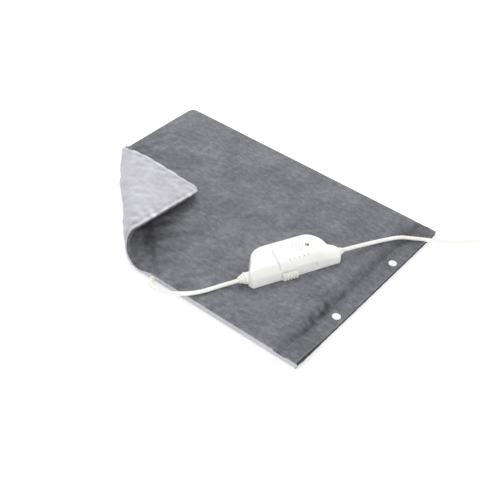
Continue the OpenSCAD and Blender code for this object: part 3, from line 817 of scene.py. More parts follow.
# ---------------------------------------------------------------- cover, upper sheet
def top_tone(points, coord):
    """Tone of the nap: painted shade in the creases, the tucks, the curl and beside the flap, a
    painted highlight on the edges, and the nap's own grain.
    """
    x, y = points[:, 0], points[:, 1]
    from_near = y - Y_MIN
    side = corner_side(points, 0.5)
    flat = coord < 0.9
    pad_only = coord < 0.6
    cloud = tone_cloud(x, y)
    # dark: painted shade in the hem's crease, a patch on it and a wide band along it, partly the
    # nap's own tone
    crease = hill(x, HEM_X - 1.5 - 1.5 * tone_wander(x, y), 4.2)
    crease = crease * (0.45 + 0.55 * hill(y, -78, 42)) * (0.75 + 0.35 * cloud)
    patch = hill(y, -72, 26) * hill(x, HEM_X - 6, 8.0)
    patch = patch * np.clip(0.5 + 0.7 * tone_patch(x, y), 0, 1)
    band = hill(x, HEM_X - 1.0, 12.0) * (0.16 + 0.18 * rise(y, 20, 70))
    # dark: painted shade along the first fold, in the rays out of it and inside the curl, and the
    # flap's painted shadow on the pad beside it
    line = hill(side, -5, 5.5) * fall(from_near, 70, 45) * flat * 0.45
    ray = hill(side, -10, 12.0) * hill(x, -158, 30.0) * flat
    ray = ray * np.clip(0.25 - 0.55 * rays(x, y), 0, 0.6)
    inside = rise(coord, 0.75, 0.9) * fall(coord, 4.6, 0.9)
    inside = inside * (0.35 + 0.65 * fall(from_near, 40, 90))
    shade = 0.50 * hill(side, -17, 24.0) * hill(x, -50, 40.0) * flat
    shade = shade + 0.30 * hill(side, 3.0, 5.0) * (coord < 1.6) * fall(from_near, 60, 30)
    # dark: painted shade of two tucks near the left edge, where the fold starts
    above = y - (20.5 + 5.5 * hill(x, -172.0, 22.0))
    tuck = 0.55 * hill(above, 1.2 * ripples(x, y), 3.0) * hill(x, -176.0, 22.0)
    tuck = tuck + 0.30 * hill(above, 7.0 + 1.5 * ripples(y, x), 2.2) * hill(x, -178.0, 18.0)
    dark = shade + tuck * pad_only + 0.75 * crease + 0.65 * patch + band + line + ray
    dark = np.clip(dark + 0.42 * inside, 0, 1.2)
    # darker hem; a painted highlight on the rim; painted shade and light on the streaks beside the
    # fold, which follow the relief; fine grain
    hem = -rise(x, 180, 6) * (0.07 + 0.10 * rise(y, 40, 80))
    rim = 0.40 * hill(edge_distance(x, y), 0.3, 1.5) * pad_only
    streak = 0.16 * streaks(x, y) * hill(side, -22, 42.0) * pad_only
    grain = 0.06 * cloud + 0.10 * tone_grain(x, y) + 0.07 * tone_fine(x, y)
    return -dark + hem + rim + streak + grain


def top_relief(points, normals):
    x, y = points[:, 0], points[:, 1]
    edge = edge_distance(x, y)
    from_near = y - Y_MIN
    side = corner_side(points, 0.5)
    soft = rise(edge, 0, 9.0)
    hem = rise(x, 184, 8)
    body = fall(x, 165, 10)
    d = (0.26 * swells(x, y) + 0.20 * hollows(x, y)) * soft * (1 - 0.6 * hem)
    d += 0.08 * ripples(x, y) * soft
    d += 0.07 * edge_ripples(x, y) * hill(edge, 4, 4.0) * rise(normals[:, 2], 0.4, 0.5) * (1 - hem)
    # streaks, a groove and rays beside the first fold
    d += 0.75 * streaks(x, y) * hill(np.maximum(-side, 0), 0, 48.0) * body * soft * (side < 12)
    d -= 1.5 * hill(side, -5, 4.0) * fall(from_near, 60, 45) * rise(edge, 1.5, 7.0)
    ray = rays(x, y) * hill(side, -10, 14.0) * hill(x, -160, 32.0)
    d = np.clip(d, -0.75, 1.0) * body + d * (1 - body) + 1.15 * ray * soft
    # creases and lumps beside the hem
    crease = hill(x, HEM_X - 3, 9.0) * (0.35 + 0.65 * hill(y, -80, 34))
    d += 1.1 * hem_creases(x, y) * crease * (1 - body) * rise(from_near, 2, 16)
    d += 0.35 * lumps(x, y) * (1 - body) * (1 - hem)
    return np.clip(d, -1.6, 1.2)


def top_rings(side, x, y):
    """A lip down over the edge, a rounded shoulder, then inwards."""
    r = 1.0 if side == MOUTH else 1.3
    lip = 0.1 if side in (MOUTH, FAR) else 0.1 + 5.4 * curl_at(x, y)
    out = [(-0.02, PAD_T - r - lip), (-0.05, PAD_T - r - 0.5 * lip)]
    for degrees in (90, 72, 52, 32, 14, 0):
        a = math.radians(degrees)
        out.append((r * (1 - math.sin(a)), PAD_T - r * (1 - math.cos(a))))
    return out + [(r + 1.2, PAD_T), (0.22, None), (0.5, None), (0.75, None)]


fabric("cover_top", sheet(COVER_XS, COVER_YS, COVER_BOX, COVER_RADII, top_rings, PAD_T),
       top_relief, DARK_FLEECE, "fleece_dark",
       {"body": "cover_top_panel", "fold_1": "cover_top_curl_1", "fold_2": "cover_top_curl_2",
        "fold_3": "cover_top_curl_3", "fold_4": "cover_top_curl_4", "flap": "cover_top_corner",
        "hem_2": "cover_mouth_hem"}, tone=top_tone, mouth=True)


# ---------------------------------------------------------------- cover, lower tray
def bottom_tone(points, coord):
    """Tone of the curled corner: a painted highlight on the rim, painted shade in the seam's groove,
    painted shade and light following the relief's lumps, streaks and puckers with the nap's grain,
    and painted shade deeper in the curl near the near end.
    """
    x, y = points[:, 0], points[:, 1]
    from_near, from_left = y - Y_MIN, x - X_MIN
    edge = np.minimum(from_near, from_left)
    rim = 0.26 * hill(edge, 1.5, 2.6) - 0.26 * hill(edge, 5.4, 2.2)
    soft = 0.07 * (low_lumps(x, y) + low_streaks(x, y) * rise(coord, 4.6, 0.8)
                   + tone_grain(x, y) + low_swells(x, y))
    pucker = 0.16 * near_pucker(x, y) * hill(from_near, 0, 22.0)
    pucker = pucker + 0.10 * left_pucker(x, y) * hill(from_left, 0, 20.0)
    low_end = -0.16 * hill(coord, 3.2, 2.4) * fall(from_near, 8, 44)
    return rise(coord, 0.9, 0.8) * (rim + soft + pucker + low_end)


def bottom_relief(points, normals):
    x, y, z = points[:, 0], points[:, 1], points[:, 2]
    coord = fold_coord(points)
    free = rise(coord, 0.6, 1.2)
    under = rise(-normals[:, 2], 0.3, 0.5)
    from_near, from_left = y - Y_MIN, x - X_MIN
    edge = np.minimum(from_near, from_left)
    d = -0.06 * (1 + low_lumps(x, y)) * under * (1 - free)
    # curled corner: soft relief, puckers at its edges, a full rim and a seam
    streak = low_streaks(x, y) * (0.15 + 0.60 * rise(coord, 5.0, 0.8))
    soft = 0.55 * low_swells(x, y) + 0.72 * low_lumps(x, y) + 0.60 * streak
    soft = soft + 0.20 * ripples(x, y) - 0.1
    pucker = 0.85 * near_pucker(x, y) * hill(from_near, 0, 24.0)
    pucker = pucker + 0.45 * left_pucker(x, y) * hill(from_left, 0, 20.0)
    rim = 0.55 * hill(edge, 1.2, 2.2) - 0.75 * hill(edge, 5.2, 2.0)
    d += free * under * (soft + pucker + rim)
    # side walls, uneven along their length
    along = np.where(np.abs(normals[:, 0]) > np.abs(normals[:, 1]), y, x)
    wall = 0.16 * edge_ripples(along, 0 * along) + 0.12 * low_lumps(along, 0 * along)
    d += (1 - under) * (wall + 0.05 * ripples(along, z)) * rise(z, 0, 3)
    return np.clip(d, -1.5, 1.3)


FULL_WALL = 8.95


def wall_height(side, x, y):
    """Height of the light side wall round the edge."""
    if side == MOUTH:
        return 2.2 + 6.6 * fall(y, -149.2, 1.6)
    if side == FAR:
        return 8.85
    return FULL_WALL - 5.4 * curl_at(x, y)


def bottom_rings(side, x, y):
    """Down the bulging wall, round the lower edge, then inwards."""
    h = wall_height(side, x, y)
    r = min(2.4, 0.55 * h)
    s = min(1.0, h / FULL_WALL)
    low_z = r + (0.46 * h - r) * 0.4 if h > 5 else 0.3 * h + r * 0.4
    out = [(0.55 * s, h), (0.22 * s, h - 0.09 * h), (0.0, 0.76 * h), (-0.30 * s, 0.60 * h),
           (-0.32 * s, 0.46 * h), (-0.15 * s, low_z)]
    r = min(r, low_z * 0.95)
    for degrees in (80, 60, 40, 20, 0):
        a = math.radians(degrees)
        out.append((-0.1 * s + r * (1 - math.sin(a)), r * (1 - math.cos(a))))
    return out + [(r + 1.6, 0.0), (0.25, None), (0.55, None), (0.8, None)]


fabric("cover_bottom", sheet(COVER_XS, COVER_YS, COVER_BOX, COVER_RADII, bottom_rings, 0.0),
       bottom_relief, LIGHT_FLEECE, "fabric_light",
       {"body": "cover_bottom_panel", "fold_1": "cover_bottom_curl_1",
        "fold_2": "cover_bottom_curl_2", "fold_3": "cover_bottom_curl_3",
        "fold_4": "cover_bottom_curl_4", "flap": "cover_bottom_corner"},
       tone=bottom_tone, underside=True)


# ---------------------------------------------------------------- heating mat inside
MAT_XS = grid_lines((-180.0, -20.0, 157.0), (3.5, 6.0))
MAT_YS = grid_lines((-130.0, 30.0, 130.0), (3.5, 6.0))


def mat_sheet(prefix, z, seed, replaced, underside):
    def rings(side, x, y):
        return [(0.0, z), (1.0, z), (0.5, None)]

    def relief(points, normals):
        return 0.10 * field(points[:, 0], points[:, 1]) - 0.05

    field = waves(seed=seed, length=24.0)
    flat_sheet = sheet(MAT_XS, MAT_YS, (-189.0, -139.0, 166.2, 139.0), [4.0, 3.0, 3.0, 4.0],
                       rings, z)
    fabric(prefix, flat_sheet, relief, MAT_FELT, "felt", replaced, underside=underside,
           felt_layer=True)


mat_sheet("mat_upper", z=7.5, seed=41, underside=False,
          replaced={"body": "mat_upper_sheet", "fold_1": "mat_curl_1", "fold_2": "mat_curl_2",
                    "fold_3": "mat_curl_3", "fold_4": "mat_curl_4", "flap": "mat_upper_corner"})
mat_sheet("mat_lower", z=2.6, seed=40, underside=True,
          replaced={"body": "mat_lower_sheet", "flap": "mat_lower_corner"})


# ---------------------------------------------------------------- facing and closure of the mouth
def swept_along_y(name, ys, section, material):
    """section(y) lists the (x, z) points of a closed outline."""
    points = np.array([(x, y, z) for y in ys for x, z in section(y)])
    faces = sweep_faces(len(ys), len(points) // len(ys))
    solid(name, points, faces, material, "fleece_dark", fabric=True)


def facing_section(y):
    j = 0.12 * mouth_jitter(y, 0)
    return [(175.5, 1.2), (190, 1.25), (198.4, 1.25), (199.0, 0.95), (198.9, 0.4), (199.4, 0.12),
            (200.1 + j, 0.5), (200.3 + j, 1.1), (199.9 + j, 1.75), (199.0, 1.98 + j * 0.3),
            (190, 1.95 + j), (176.5, 1.9), (175.5, 1.6)]


def closure_section(y):
    """A thin upright wall, bowed inwards, up to the hem."""
    low = 1.2
    high = mouth_height(y) - 0.8 - 0.5 * hill(y, -149, 3.0)
    shift = -1.0 * hill(y, -149.5, 2.2)
    jitter = 0.35 * mouth_jitter(y, 9.0)
    outer, inner = [], []
    for k in range(7):
        t = k / 6
        bow = shift - 0.5 * math.sin(math.pi * t)
        z = low + (high - low) * t
        outer.append((198.9 + bow + jitter * t * (1 - t) * 2, z))
        inner.append((197.7 + bow, z))
    return outer + inner[::-1]


swept_along_y("lower_hem_facing", np.linspace(-149.2, 149.2, 160), facing_section, EDGE_FLEECE)
# the closure's fleece is darkened as painted shade of the gap
swept_along_y("mouth_side_closure", np.linspace(-149.5, -84.0, 60), closure_section, SHADED_MOUTH_FLEECE)


def hem_stitching():
    """A row of stitches beside the crease of the hem, on the pad's side."""
    stitch_x, pitch = 177.6, 4.4
    length, half_width, half_height = 3.3, 0.34, 0.26
    # (place along the stitch as a share of its length, share of its full width)
    profile = [(-0.5, 0.05), (-0.44, 0.6), (-0.25, 0.95), (0.0, 1.0), (0.25, 0.95), (0.44, 0.6),
               (0.5, 0.05)]
    sides = 8
    ys = np.arange(-146, 147, pitch)
    seats = np.column_stack([np.full(len(ys), stitch_x), ys, np.full(len(ys), PAD_T)])
    seats[:, 2] += top_relief(seats, np.tile([0, 0, 1.0], (len(ys), 1)))
    seats = layers(seats, np.full(len(ys), FLAT))[0]
    seats[:, 2] += mouth_relief(seats[:, 0], ys) + 0.10
    points, faces = [], []
    for x, y, z in seats:
        faces += loft_faces(len(profile), sides, start=len(points))
        for a, r in profile:
            for k in range(sides):
                t = 2 * math.pi * k / sides
                points.append((x + r * half_width * math.cos(t), y + a * length,
                               z + r * half_height * math.sin(t)))
    solid("hem_stitching", points, faces, THREAD, "fleece_dark")


hem_stitching()


# ---------------------------------------------------------------- turned pieces, press studs
def lathe(name, profile, origin, axis, material, slot, replaced, body="pad", count=40,
          squash=1.0):
    """profile: (distance along the axis, radius), capped at both ends; squash scales upwards."""
    axis = np.array(axis, float)
    axis /= np.linalg.norm(axis)
    up = np.array([0, 0, 1.0])
    if abs(up @ axis) > 0.9:
        up = np.array([1.0, 0, 0])
    side = np.cross(axis, up)
    side /= np.linalg.norm(side)
    up = np.cross(side, axis)
    points = []
    for a, r in profile:
        for k in range(count):
            t = 2 * math.pi * k / count
            points.append(origin + axis * a + side * r * math.cos(t)
                          + up * r * squash * math.sin(t))
    solid(name, points, loft_faces(len(profile), count), material, slot, replaced, body=body,
          sharp=40)


STUD_PROFILE = [(0.0, 4.55), (0.0, 5.0), (0.35, 5.12), (0.75, 5.0), (1.08, 4.55), (1.28, 3.9),
                (1.36, 3.2), (1.36, 2.75), (1.2, 2.5), (1.12, 2.0), (1.14, 1.1), (1.18, 0.2)]
for i, y in enumerate((-60.0, 60.0)):
    lathe(f"stud_cap_{i + 1}", STUD_PROFILE, (191.0, y, 4.9), (0, 0, 1), STUD, "stud_white",
          "snap_caps", body="mouth", count=48)


# ---------------------------------------------------------------- outlines in plan
def fillet(corners, steps):
    """Closed outline of (x, y, radius) corners, each rounded by an arc of steps."""
    out = []
    for i, corner in enumerate(corners):
        p, r = np.array(corner[:2], float), corner[2]
        before = np.array(corners[i - 1][:2], float)
        after = np.array(corners[(i + 1) % len(corners)][:2], float)
        to_a = (before - p) / np.linalg.norm(before - p)
        to_b = (after - p) / np.linalg.norm(after - p)
        half = math.acos(np.clip(to_a @ to_b, -1, 1)) / 2
        tangent = r / math.tan(half)
        bisector = (to_a + to_b) / np.linalg.norm(to_a + to_b)
        centre = p + bisector * r / math.sin(half)
        s, e = p + to_a * tangent - centre, p + to_b * tangent - centre
        start, end = math.atan2(s[1], s[0]), math.atan2(e[1], e[0])
        turn = (end - start + math.pi) % (2 * math.pi) - math.pi
        for k in range(steps + 1):
            a = start + turn * k / steps
            out.append(centre + r * np.array([math.cos(a), math.sin(a)]))
    return np.array(out)


def resample(outline, spacing):
    """Closed outline at even spacing, starting on its first point."""
    lengths = np.linalg.norm(np.roll(outline, -1, 0) - outline, axis=1)
    total = np.concatenate([[0], np.cumsum(lengths)])
    out = []
    for s in np.linspace(0, total[-1], int(round(total[-1] / spacing)), endpoint=False):
        i = min(np.searchsorted(total, s, side="right") - 1, len(outline) - 1)
        t = (s - total[i]) / max(lengths[i], 1e-9)
        out.append(outline[i] + (outline[(i + 1) % len(outline)] - outline[i]) * t)
    return np.array(out)


def outward_normals(outline):
    tangents = np.roll(outline, -1, 0) - np.roll(outline, 1, 0)
    tangents /= np.linalg.norm(tangents, axis=1)[:, None]
    return np.stack([tangents[:, 1], -tangents[:, 0]], 1)


# ---------------------------------------------------------------- controller casing
# Casing frame: u along the casing, n across it from the slider's side, z up from its underside
CASING_ANGLE = math.radians(65.1)
CASING_ORIGIN = np.array([95.4, -93.3, 10.05])
CASING_AXIS = np.array([math.cos(CASING_ANGLE), math.sin(CASING_ANGLE), 0.0])
SLIDER_N = -2.2           # the slider's side stands this far out from the outline's straight edge
SHELL_SEAM_Z = 5.75       # upper edge of the seam groove
SHELL_TOP_Z = 21.55       # height of the last wall ring
SLOT_U = (38.6, 86.2)     # ends of the slider's slot
SLOT_Z, SLOT_R = 6.9, 6.3


def on_casing(u, n, z):
    c, s = CASING_AXIS[:2]
    return CASING_ORIGIN + np.array([u * c - n * s, u * s + n * c, z])


# (u, n, corner radius)
SHELL_CORNERS = [[-4.4, 0, 4.5], [120.8, 0, 6], [120.8, 14.5, 6], [112.5, 15.0, 9],
                 [103.5, 41.8, 21], [19.0, 41.8, 26]]
# (height, inset elsewhere, inset on the slider's side)
SHELL_LEVELS = [
    (0.0, 1.7, 1.5), (0.25, 0.95, 0.7), (0.7, 0.4, 0.1), (1.3, 0.1, -0.2), (2.0, 0.0, -0.35),
    (3.0, 0.0, -0.35), (4.0, 0.0, -0.3), (5.1, 0.0, -0.25), (5.3, 0.28, 0.05), (5.55, 0.28, 0.05),
    (SHELL_SEAM_Z, 0.0, -0.2), (6.5, 0.0, -0.15), (7.5, 0.02, -0.1), (8.5, 0.05, 0.0),
    (9.5, 0.1, 0.1), (10.5, 0.16, 0.22), (11.5, 0.18, 0.40), (12.5, 0.22, 0.62),
    (13.5, 0.27, 0.90), (14.5, 0.33, 1.25), (15.5, 0.40, 1.65), (16.5, 0.50, 2.15),
    (17.5, 0.64, 2.75), (18.4, 0.84, 3.35), (19.2, 1.10, 4.0), (19.9, 1.45, 4.7),
    (20.5, 1.90, 5.4), (20.95, 2.5, 6.2), (21.3, 3.3, 7.2), (SHELL_TOP_Z, 4.6, 8.6)]


def shell_spine(outline):
    """For each outline point, the point of the casing's middle line at its u."""
    us = np.arange(120.0)
    far = [max([p[1] for p in outline if abs(p[0] - u) < 0.9] + [1.0]) for u in us]
    far = np.convolve(np.pad(far, 3, mode="edge"), np.ones(7) / 7, mode="valid")
    u = np.clip(outline[:, 0], 15.0, 106.0)
    return np.column_stack([u, 0.54 * np.interp(u, us, far)])


def shell_rings(outline):
    spine = shell_spine(outline)
    to_spine = np.linalg.norm(spine - outline, axis=1)
    facing = np.clip(-outward_normals(outline)[:, 1], 0, 1) ** 2    # 1 on the slider's side
    rings = []
    for z, inset_else, inset_slider in SHELL_LEVELS:
        inset = inset_else * (1 - facing) + inset_slider * facing
        # insets are held back near the spine, so that narrow ends keep their shape
        reach = 0.82 * to_spine
        held = reach * (1 - np.exp(-inset / np.maximum(reach, 0.1)))
        inset = np.minimum(inset, held + 0.18 * np.minimum(inset, 0.5 * to_spine))
        wall = outline + (spine - outline) * np.clip(inset / to_spine, -0.05, 0.95)[:, None]
        wall[:, 1] += SLIDER_N * facing * (1 - 0.6 * rise(z, 13.0, 9.0))
        rings.append(np.column_stack([wall, np.full(len(outline), z)]))
    # crowned top, closing towards the spine
    for t in np.linspace(0.0, 1.0, 14)[1:-1]:
        crown = wall + (spine - wall) * t * 0.96
        z = SHELL_TOP_Z + 0.6 * (1 - (1 - t) ** 2)
        rings.append(np.column_stack([crown, np.full(len(outline), z)]))
    return rings


def slot_mask(u, z):
    """1 inside the slider's slot, which has round ends."""
    half = (SLOT_U[1] - SLOT_U[0]) / 2
    beyond = np.abs(u - (SLOT_U[1] + SLOT_U[0]) / 2) - (half - SLOT_R)
    outside = np.hypot(np.maximum(beyond, 0), z - SLOT_Z) - SLOT_R
    return fall(outside, -0.45, 0.9)


def groove_u(n):
    """u of the groove that crosses the casing's top."""
    return 36.6 + 0.115 * n


def top_strip(us, base):
    """Triangles between the two long sides of the last ring, which starts at index base."""
    n = len(us)
    start, end = int(np.argmin(us)), int(np.argmax(us))
    one = [(start + k) % n for k in range((end - start) % n + 1)]
    two = [(start - k) % n for k in range((start - end) % n + 1)]
    triangles = []
    a = b = 0
    while a < len(one) - 1 or b < len(two) - 1:
        step_one = b == len(two) - 1 or (a < len(one) - 1 and us[one[a + 1]] <= us[two[b + 1]])
        following = one[a + 1] if step_one else two[b + 1]
        if len({one[a], two[b], following}) == 3:
            triangles.append((base + one[a], base + following, base + two[b]))
        if step_one:
            a += 1
        else:
            b += 1
    return triangles


def controller():
    outline = resample(fillet(SHELL_CORNERS, steps=10), 0.9)
    rings = shell_rings(outline)
    count = len(outline)
    u, n, z = np.concatenate(rings).T
    slider_side = (n < 2.5) & (z < 14.5) & (u > 30) & (u < 95)
    n = n + 1.35 * slot_mask(u, z) * slider_side
    groove = hill(u, groove_u(n), 1.5) * rise(z, 15.0, 3.0)
    z = z - 0.5 * groove * rise(n, -1.0, 2.0) * fall(n, 28.0, 1.6)
    # the upper shell gets lower towards the mains end
    above = z - SHELL_SEAM_Z
    z = SHELL_SEAM_Z + np.where(above > 0, above * (1 - 0.46 * rise(u, 84, 40)), above)
    points = [on_casing(*p) for p in zip(u, n, z)]
    last = (len(rings) - 1) * count
    faces = ring_quads(len(rings), count) + [tuple(reversed(range(count)))]
    faces += top_strip(u[last:], last)
    return solid("controller_casing", points, faces, CASING, "casing_white",
                 "controller_upper_shell", "controller_lower_shell", sharp=50)


casing = controller()


# ---------------------------------------------------------------- slider knob
def slider_knob():
    """A block with upright ribs on its outer face."""
    u0, u1, z0, z1 = 39.2, 59.8, 0.9, 10.4
    nu, nz = 84, 20
    rib_pitch = 3.9

    def depth(a, b):
        """Stand-out of the face; a runs along the travel and b up, both 0 to 1."""
        rib = abs(math.cos(math.pi * (u0 + (u1 - u0) * a - 49.5) / rib_pitch)) ** 0.75
        d = 1.9 - b ** 2 + 2.3 * rib * rise(b, -0.02, 0.10) * rise(1.0 - b, 0, 0.45)
        edge_u = min(a, 1 - a) * (u1 - u0)
        edge_z = min(b, 1 - b) * (z1 - z0)
        if edge_u < 0.8:
            d *= rise(edge_u, -0.25, 1.0) ** 0.5
        if edge_z < 0.9:
            d *= rise(edge_z, -0.3, 1.2) ** 0.5
        return d

    grid = [(i / nu, j / nz) for j in range(nz + 1) for i in range(nu + 1)]
    points = [on_casing(u0 + (u1 - u0) * a, SLIDER_N - depth(a, b), z0 + (z1 - z0) * b)
              for a, b in grid]
    points += [on_casing(u0 + (u1 - u0) * a, SLIDER_N + 0.75, z0 + (z1 - z0) * b)
               for a, b in grid]
    back = len(grid)
    row = nu + 1
    faces = []
    for j in range(nz):
        for i in range(nu):
            a = j * row + i
            faces.append((a, a + 1, a + 1 + row, a + row))
            faces.append((back + a + row, back + a + 1 + row, back + a + 1, back + a))
    edge = list(range(nu)) + [nu + j * row for j in range(nz)]
    edge += [nz * row + i for i in range(nu, 0, -1)] + [j * row for j in range(nz, 0, -1)]
    for a, b in zip(edge, edge[1:] + edge[:1]):
        faces.append((a, back + a, back + b, b))
    solid("slider_knob", points, faces, KNOB, "knob_white", "slide_knob", body="slide_switch",
          sharp=60)


slider_knob()

# ---------------------------------------------------------------- strain reliefs of the casing
PAD_RELIEF_PROFILE = [
    (6.5, 6.6), (0.3, 7.0), (-0.1, 7.35), (-0.6, 7.45), (-2.6, 6.8), (-3.0, 6.2), (-3.05, 5.3),
    (-3.5, 5.2), (-3.55, 5.75), (-3.9, 5.75), (-5.8, 5.2), (-6.1, 4.9), (-6.15, 4.2), (-6.6, 4.1),
    (-6.65, 4.5), (-6.9, 4.5), (-8.8, 3.95), (-9.3, 3.5), (-9.4, 2.2)]
MAINS_RELIEF_PROFILE = [
    (-0.5, 4.4), (0.0, 4.75), (0.5, 4.85), (1.9, 4.75), (2.5, 4.4), (2.6, 3.9), (3.2, 3.75),
    (5.3, 3.2), (5.9, 2.8), (6.0, 2.0)]
lathe("strain_relief_pad", PAD_RELIEF_PROFILE, on_casing(-2.2, 10, 8.3), CASING_AXIS, RELIEF,
      "relief_white", "strain_relief_pad_side", squash=0.92)
lathe("strain_relief_mains", MAINS_RELIEF_PROFILE, on_casing(120.5, 8.2, 9.2), CASING_AXIS, RELIEF,
      "relief_white", "strain_relief_mains_side", squash=0.92)


# ---------------------------------------------------------------- lens and printed rings
def power_lens():
    """A shallow dome with a short wall below it."""
    u, n, z = 82.4, 21.0, 22.0
    radius, height, wall = 2.7, 0.35, 0.8
    rows, count = 8, 32

    def ring(r, at_z):
        turns = [2 * math.pi * i / count for i in range(count)]
        return [on_casing(u + r * math.cos(t), n + r * math.sin(t), at_z) for t in turns]

    points = []
    for k in range(rows):
        a = math.radians(90 * k / rows)
        points += ring(radius * math.cos(a), z + height * math.sin(a))
    points.append(on_casing(u, n, z + height))
    points += ring(radius, z - wall)
    apex = rows * count
    faces = ring_quads(rows, count)
    for i in range(count):
        j = (i + 1) % count
        faces.append(((rows - 1) * count + i, (rows - 1) * count + j, apex))
        faces.append((apex + 1 + i, apex + 1 + j, j, i))
    faces.append(tuple(reversed(range(apex + 1, apex + 1 + count))))
    solid("power_lens", points, faces, LENS, "lens", "indicator_lens")


def printed_ring(name, radius):
    u, n, z = 70.2, 22.4, 22.12
    half_width = 0.42
    section = [(radius - half_width, z - 0.15), (radius - half_width, z + 0.03),
               (radius + half_width, z + 0.03), (radius + half_width, z - 0.15)]
    count = 64
    points, faces = [], []
    for i in range(count):
        t = 2 * math.pi * i / count
        points += [on_casing(u + r * math.cos(t), n + r * math.sin(t), rz) for r, rz in section]
        j = (i + 1) % count
        for k in range(4):
            m = (k + 1) % 4
            faces.append((i * 4 + k, j * 4 + k, j * 4 + m, i * 4 + m))
    solid(name, points, faces, RING_PRINT, "casing_white", sharp=30, smooth=False)


power_lens()
printed_ring("ring_mark", radius=6.1)
printed_ring("ring_mark_inner", radius=2.6)


# ---------------------------------------------------------------- cords
def figure_eight(radius=1.7, offset=1.05, steps=12):
    """Section of a twin cord: two circles side by side."""
    limit = math.acos(min(1.0, offset / radius * 0.72))
    points = []
    for centre, start in ((offset, -math.pi + limit), (-offset, limit)):
        for k in range(steps + 1):
            t = start + (2 * math.pi - 2 * limit) * k / steps
            points.append((centre + radius * math.cos(t), radius * math.sin(t)))
    return points


def catmull(stations, steps):
    """Smooth curve through the stations."""
    pts = [np.array(p, float) for p in stations]
    out = []
    for i in range(len(pts) - 1):
        a, b, c, d = pts[max(i - 1, 0)], pts[i], pts[i + 1], pts[min(i + 2, len(pts) - 1)]
        for k in range(steps):
            t = k / steps
            out.append(0.5 * (2 * b + (c - a) * t + (2 * a - 5 * b + 4 * c - d) * t * t
                              + (3 * b - a - 3 * c + d) * t ** 3))
    return np.array(out + [pts[-1]])


def cord(name, path, replaced):
    section = figure_eight()
    n = len(path)
    points = []
    for i in range(n):
        t = path[min(i + 1, n - 1)] - path[max(i - 1, 0)]
        t = t / np.linalg.norm(t)
        side = np.cross(t, [0, 0, 1.0])
        side = side / np.linalg.norm(side)
        up = np.cross(side, t)
        points += [path[i] + side * a + up * b for a, b in section]
    solid(name, points, sweep_faces(n, len(section)), CORD, "cord_white", replaced)


# Plug frame: x along the plug away from its cord, y across it, z up
PLUG_ANGLE = math.radians(42)
PLUG_ORIGIN = np.array([318.0, 232.0, 6.9])
PLUG_AXIS = np.array([math.cos(PLUG_ANGLE), math.sin(PLUG_ANGLE), 0])


def on_plug(x, y=0.0, z=0.0):
    c, s = PLUG_AXIS[:2]
    return PLUG_ORIGIN + np.array([x * c - y * s, x * s + y * c, z])


PAD_CORD_STATIONS = [
    on_casing(-4, 10, 8.3), on_casing(-10, 10, 8.3), on_casing(-13.5, 10.1, 7.7),
    (70.3, -112.1, 12.6), (57.9, -137.3, 11.9), (45.7, -152.0, 11.7), (30, -158.6, 7.4),
    (16.1, -159.4, 2.9), (5.5, -158.8, 2.1), (0.2, -156.8, 2.9), (-2, -153.0, 4.1),
    (-2, -149.0, 4.1), (-2, -144.0, 4.1)]
MAINS_CORD_STATIONS = [
    on_casing(120, 8.2, 10), on_casing(126, 8.2, 9.9), on_casing(129, 8.3, 9.4),
    (155, 59, 15.9), (165.4, 85, 12.0), (175, 102, 10.4), (186.5, 114.5, 7.7), (200.6, 126, 6.3),
    (211, 136, 3.6), (224, 149, 1.85), (246, 172, 1.75),
    on_plug(-62, z=-4.2), on_plug(-52, z=-0.3), on_plug(-44), on_plug(-36)]
cord("cord_to_pad", catmull(PAD_CORD_STATIONS, steps=8), "pad_cord")
cord("cord_to_plug", catmull(MAINS_CORD_STATIONS, steps=10), "mains_cord")

# ---------------------------------------------------------------- plug
# (x, y, corner radius)
PLUG_CORNERS = [[0, -17.6, 3.6], [0, 17.6, 3.6], [-15, 17.6, 7], [-27, 8, 7], [-37, 7, 3.4],
                [-37, -7, 3.4], [-27, -8, 7], [-15, -17.6, 7]]


def plug_shell():
    outline = resample(fillet(PLUG_CORNERS, steps=6), 0.8)
    normals = outward_normals(outline)
    half_height, rows = 6.6, 22
    points = []
    for i in range(rows + 1):
        a = -math.pi / 2 + math.pi * i / rows
        z = half_height * math.copysign(abs(math.sin(a)) ** 0.75, a)
        inset = 2.9 * (1 - abs(math.cos(a)) ** 0.42)
        seam = 0.22 if i == rows // 2 else 0.0
        points += [on_plug(x, y, z) for x, y in outline - normals * (inset + seam)]
    solid("plug_shell", points, loft_faces(rows + 1, len(outline)), RELIEF, "relief_white",
          "plug_body", sharp=40)


def plug_relief():
    """Five shrinking collars towards the cord."""
    profile = [(1.5, 5.6), (0.0, 5.6)]
    for i in range(5):
        r, back = 5.35 - 0.42 * i, 2.7 * i
        profile += [(-0.2 - back, r), (-1.9 - back, r - 0.15), (-2.1 - back, r - 0.9),
                    (-2.7 - back, r - 0.95)]
    profile += [(-14.0, 3.0), (-14.2, 2.0)]
    lathe("plug_relief", profile, on_plug(-37.0), PLUG_AXIS, RELIEF, "relief_white",
          "plug_cord_relief")


plug_shell()
plug_relief()


# ---------------------------------------------------------------- print on the casing, and painted shade in its groove
def casing_top(u, n):
    """Height of the casing's top at (u, n), by a ray from above."""
    start = on_casing(u, n, 60.0) * MM
    hit, place, _, _ = casing.ray_cast(Vector(start), Vector((0, 0, -1)))
    return (place.z / MM - CASING_ORIGIN[2]) if hit else 21.0


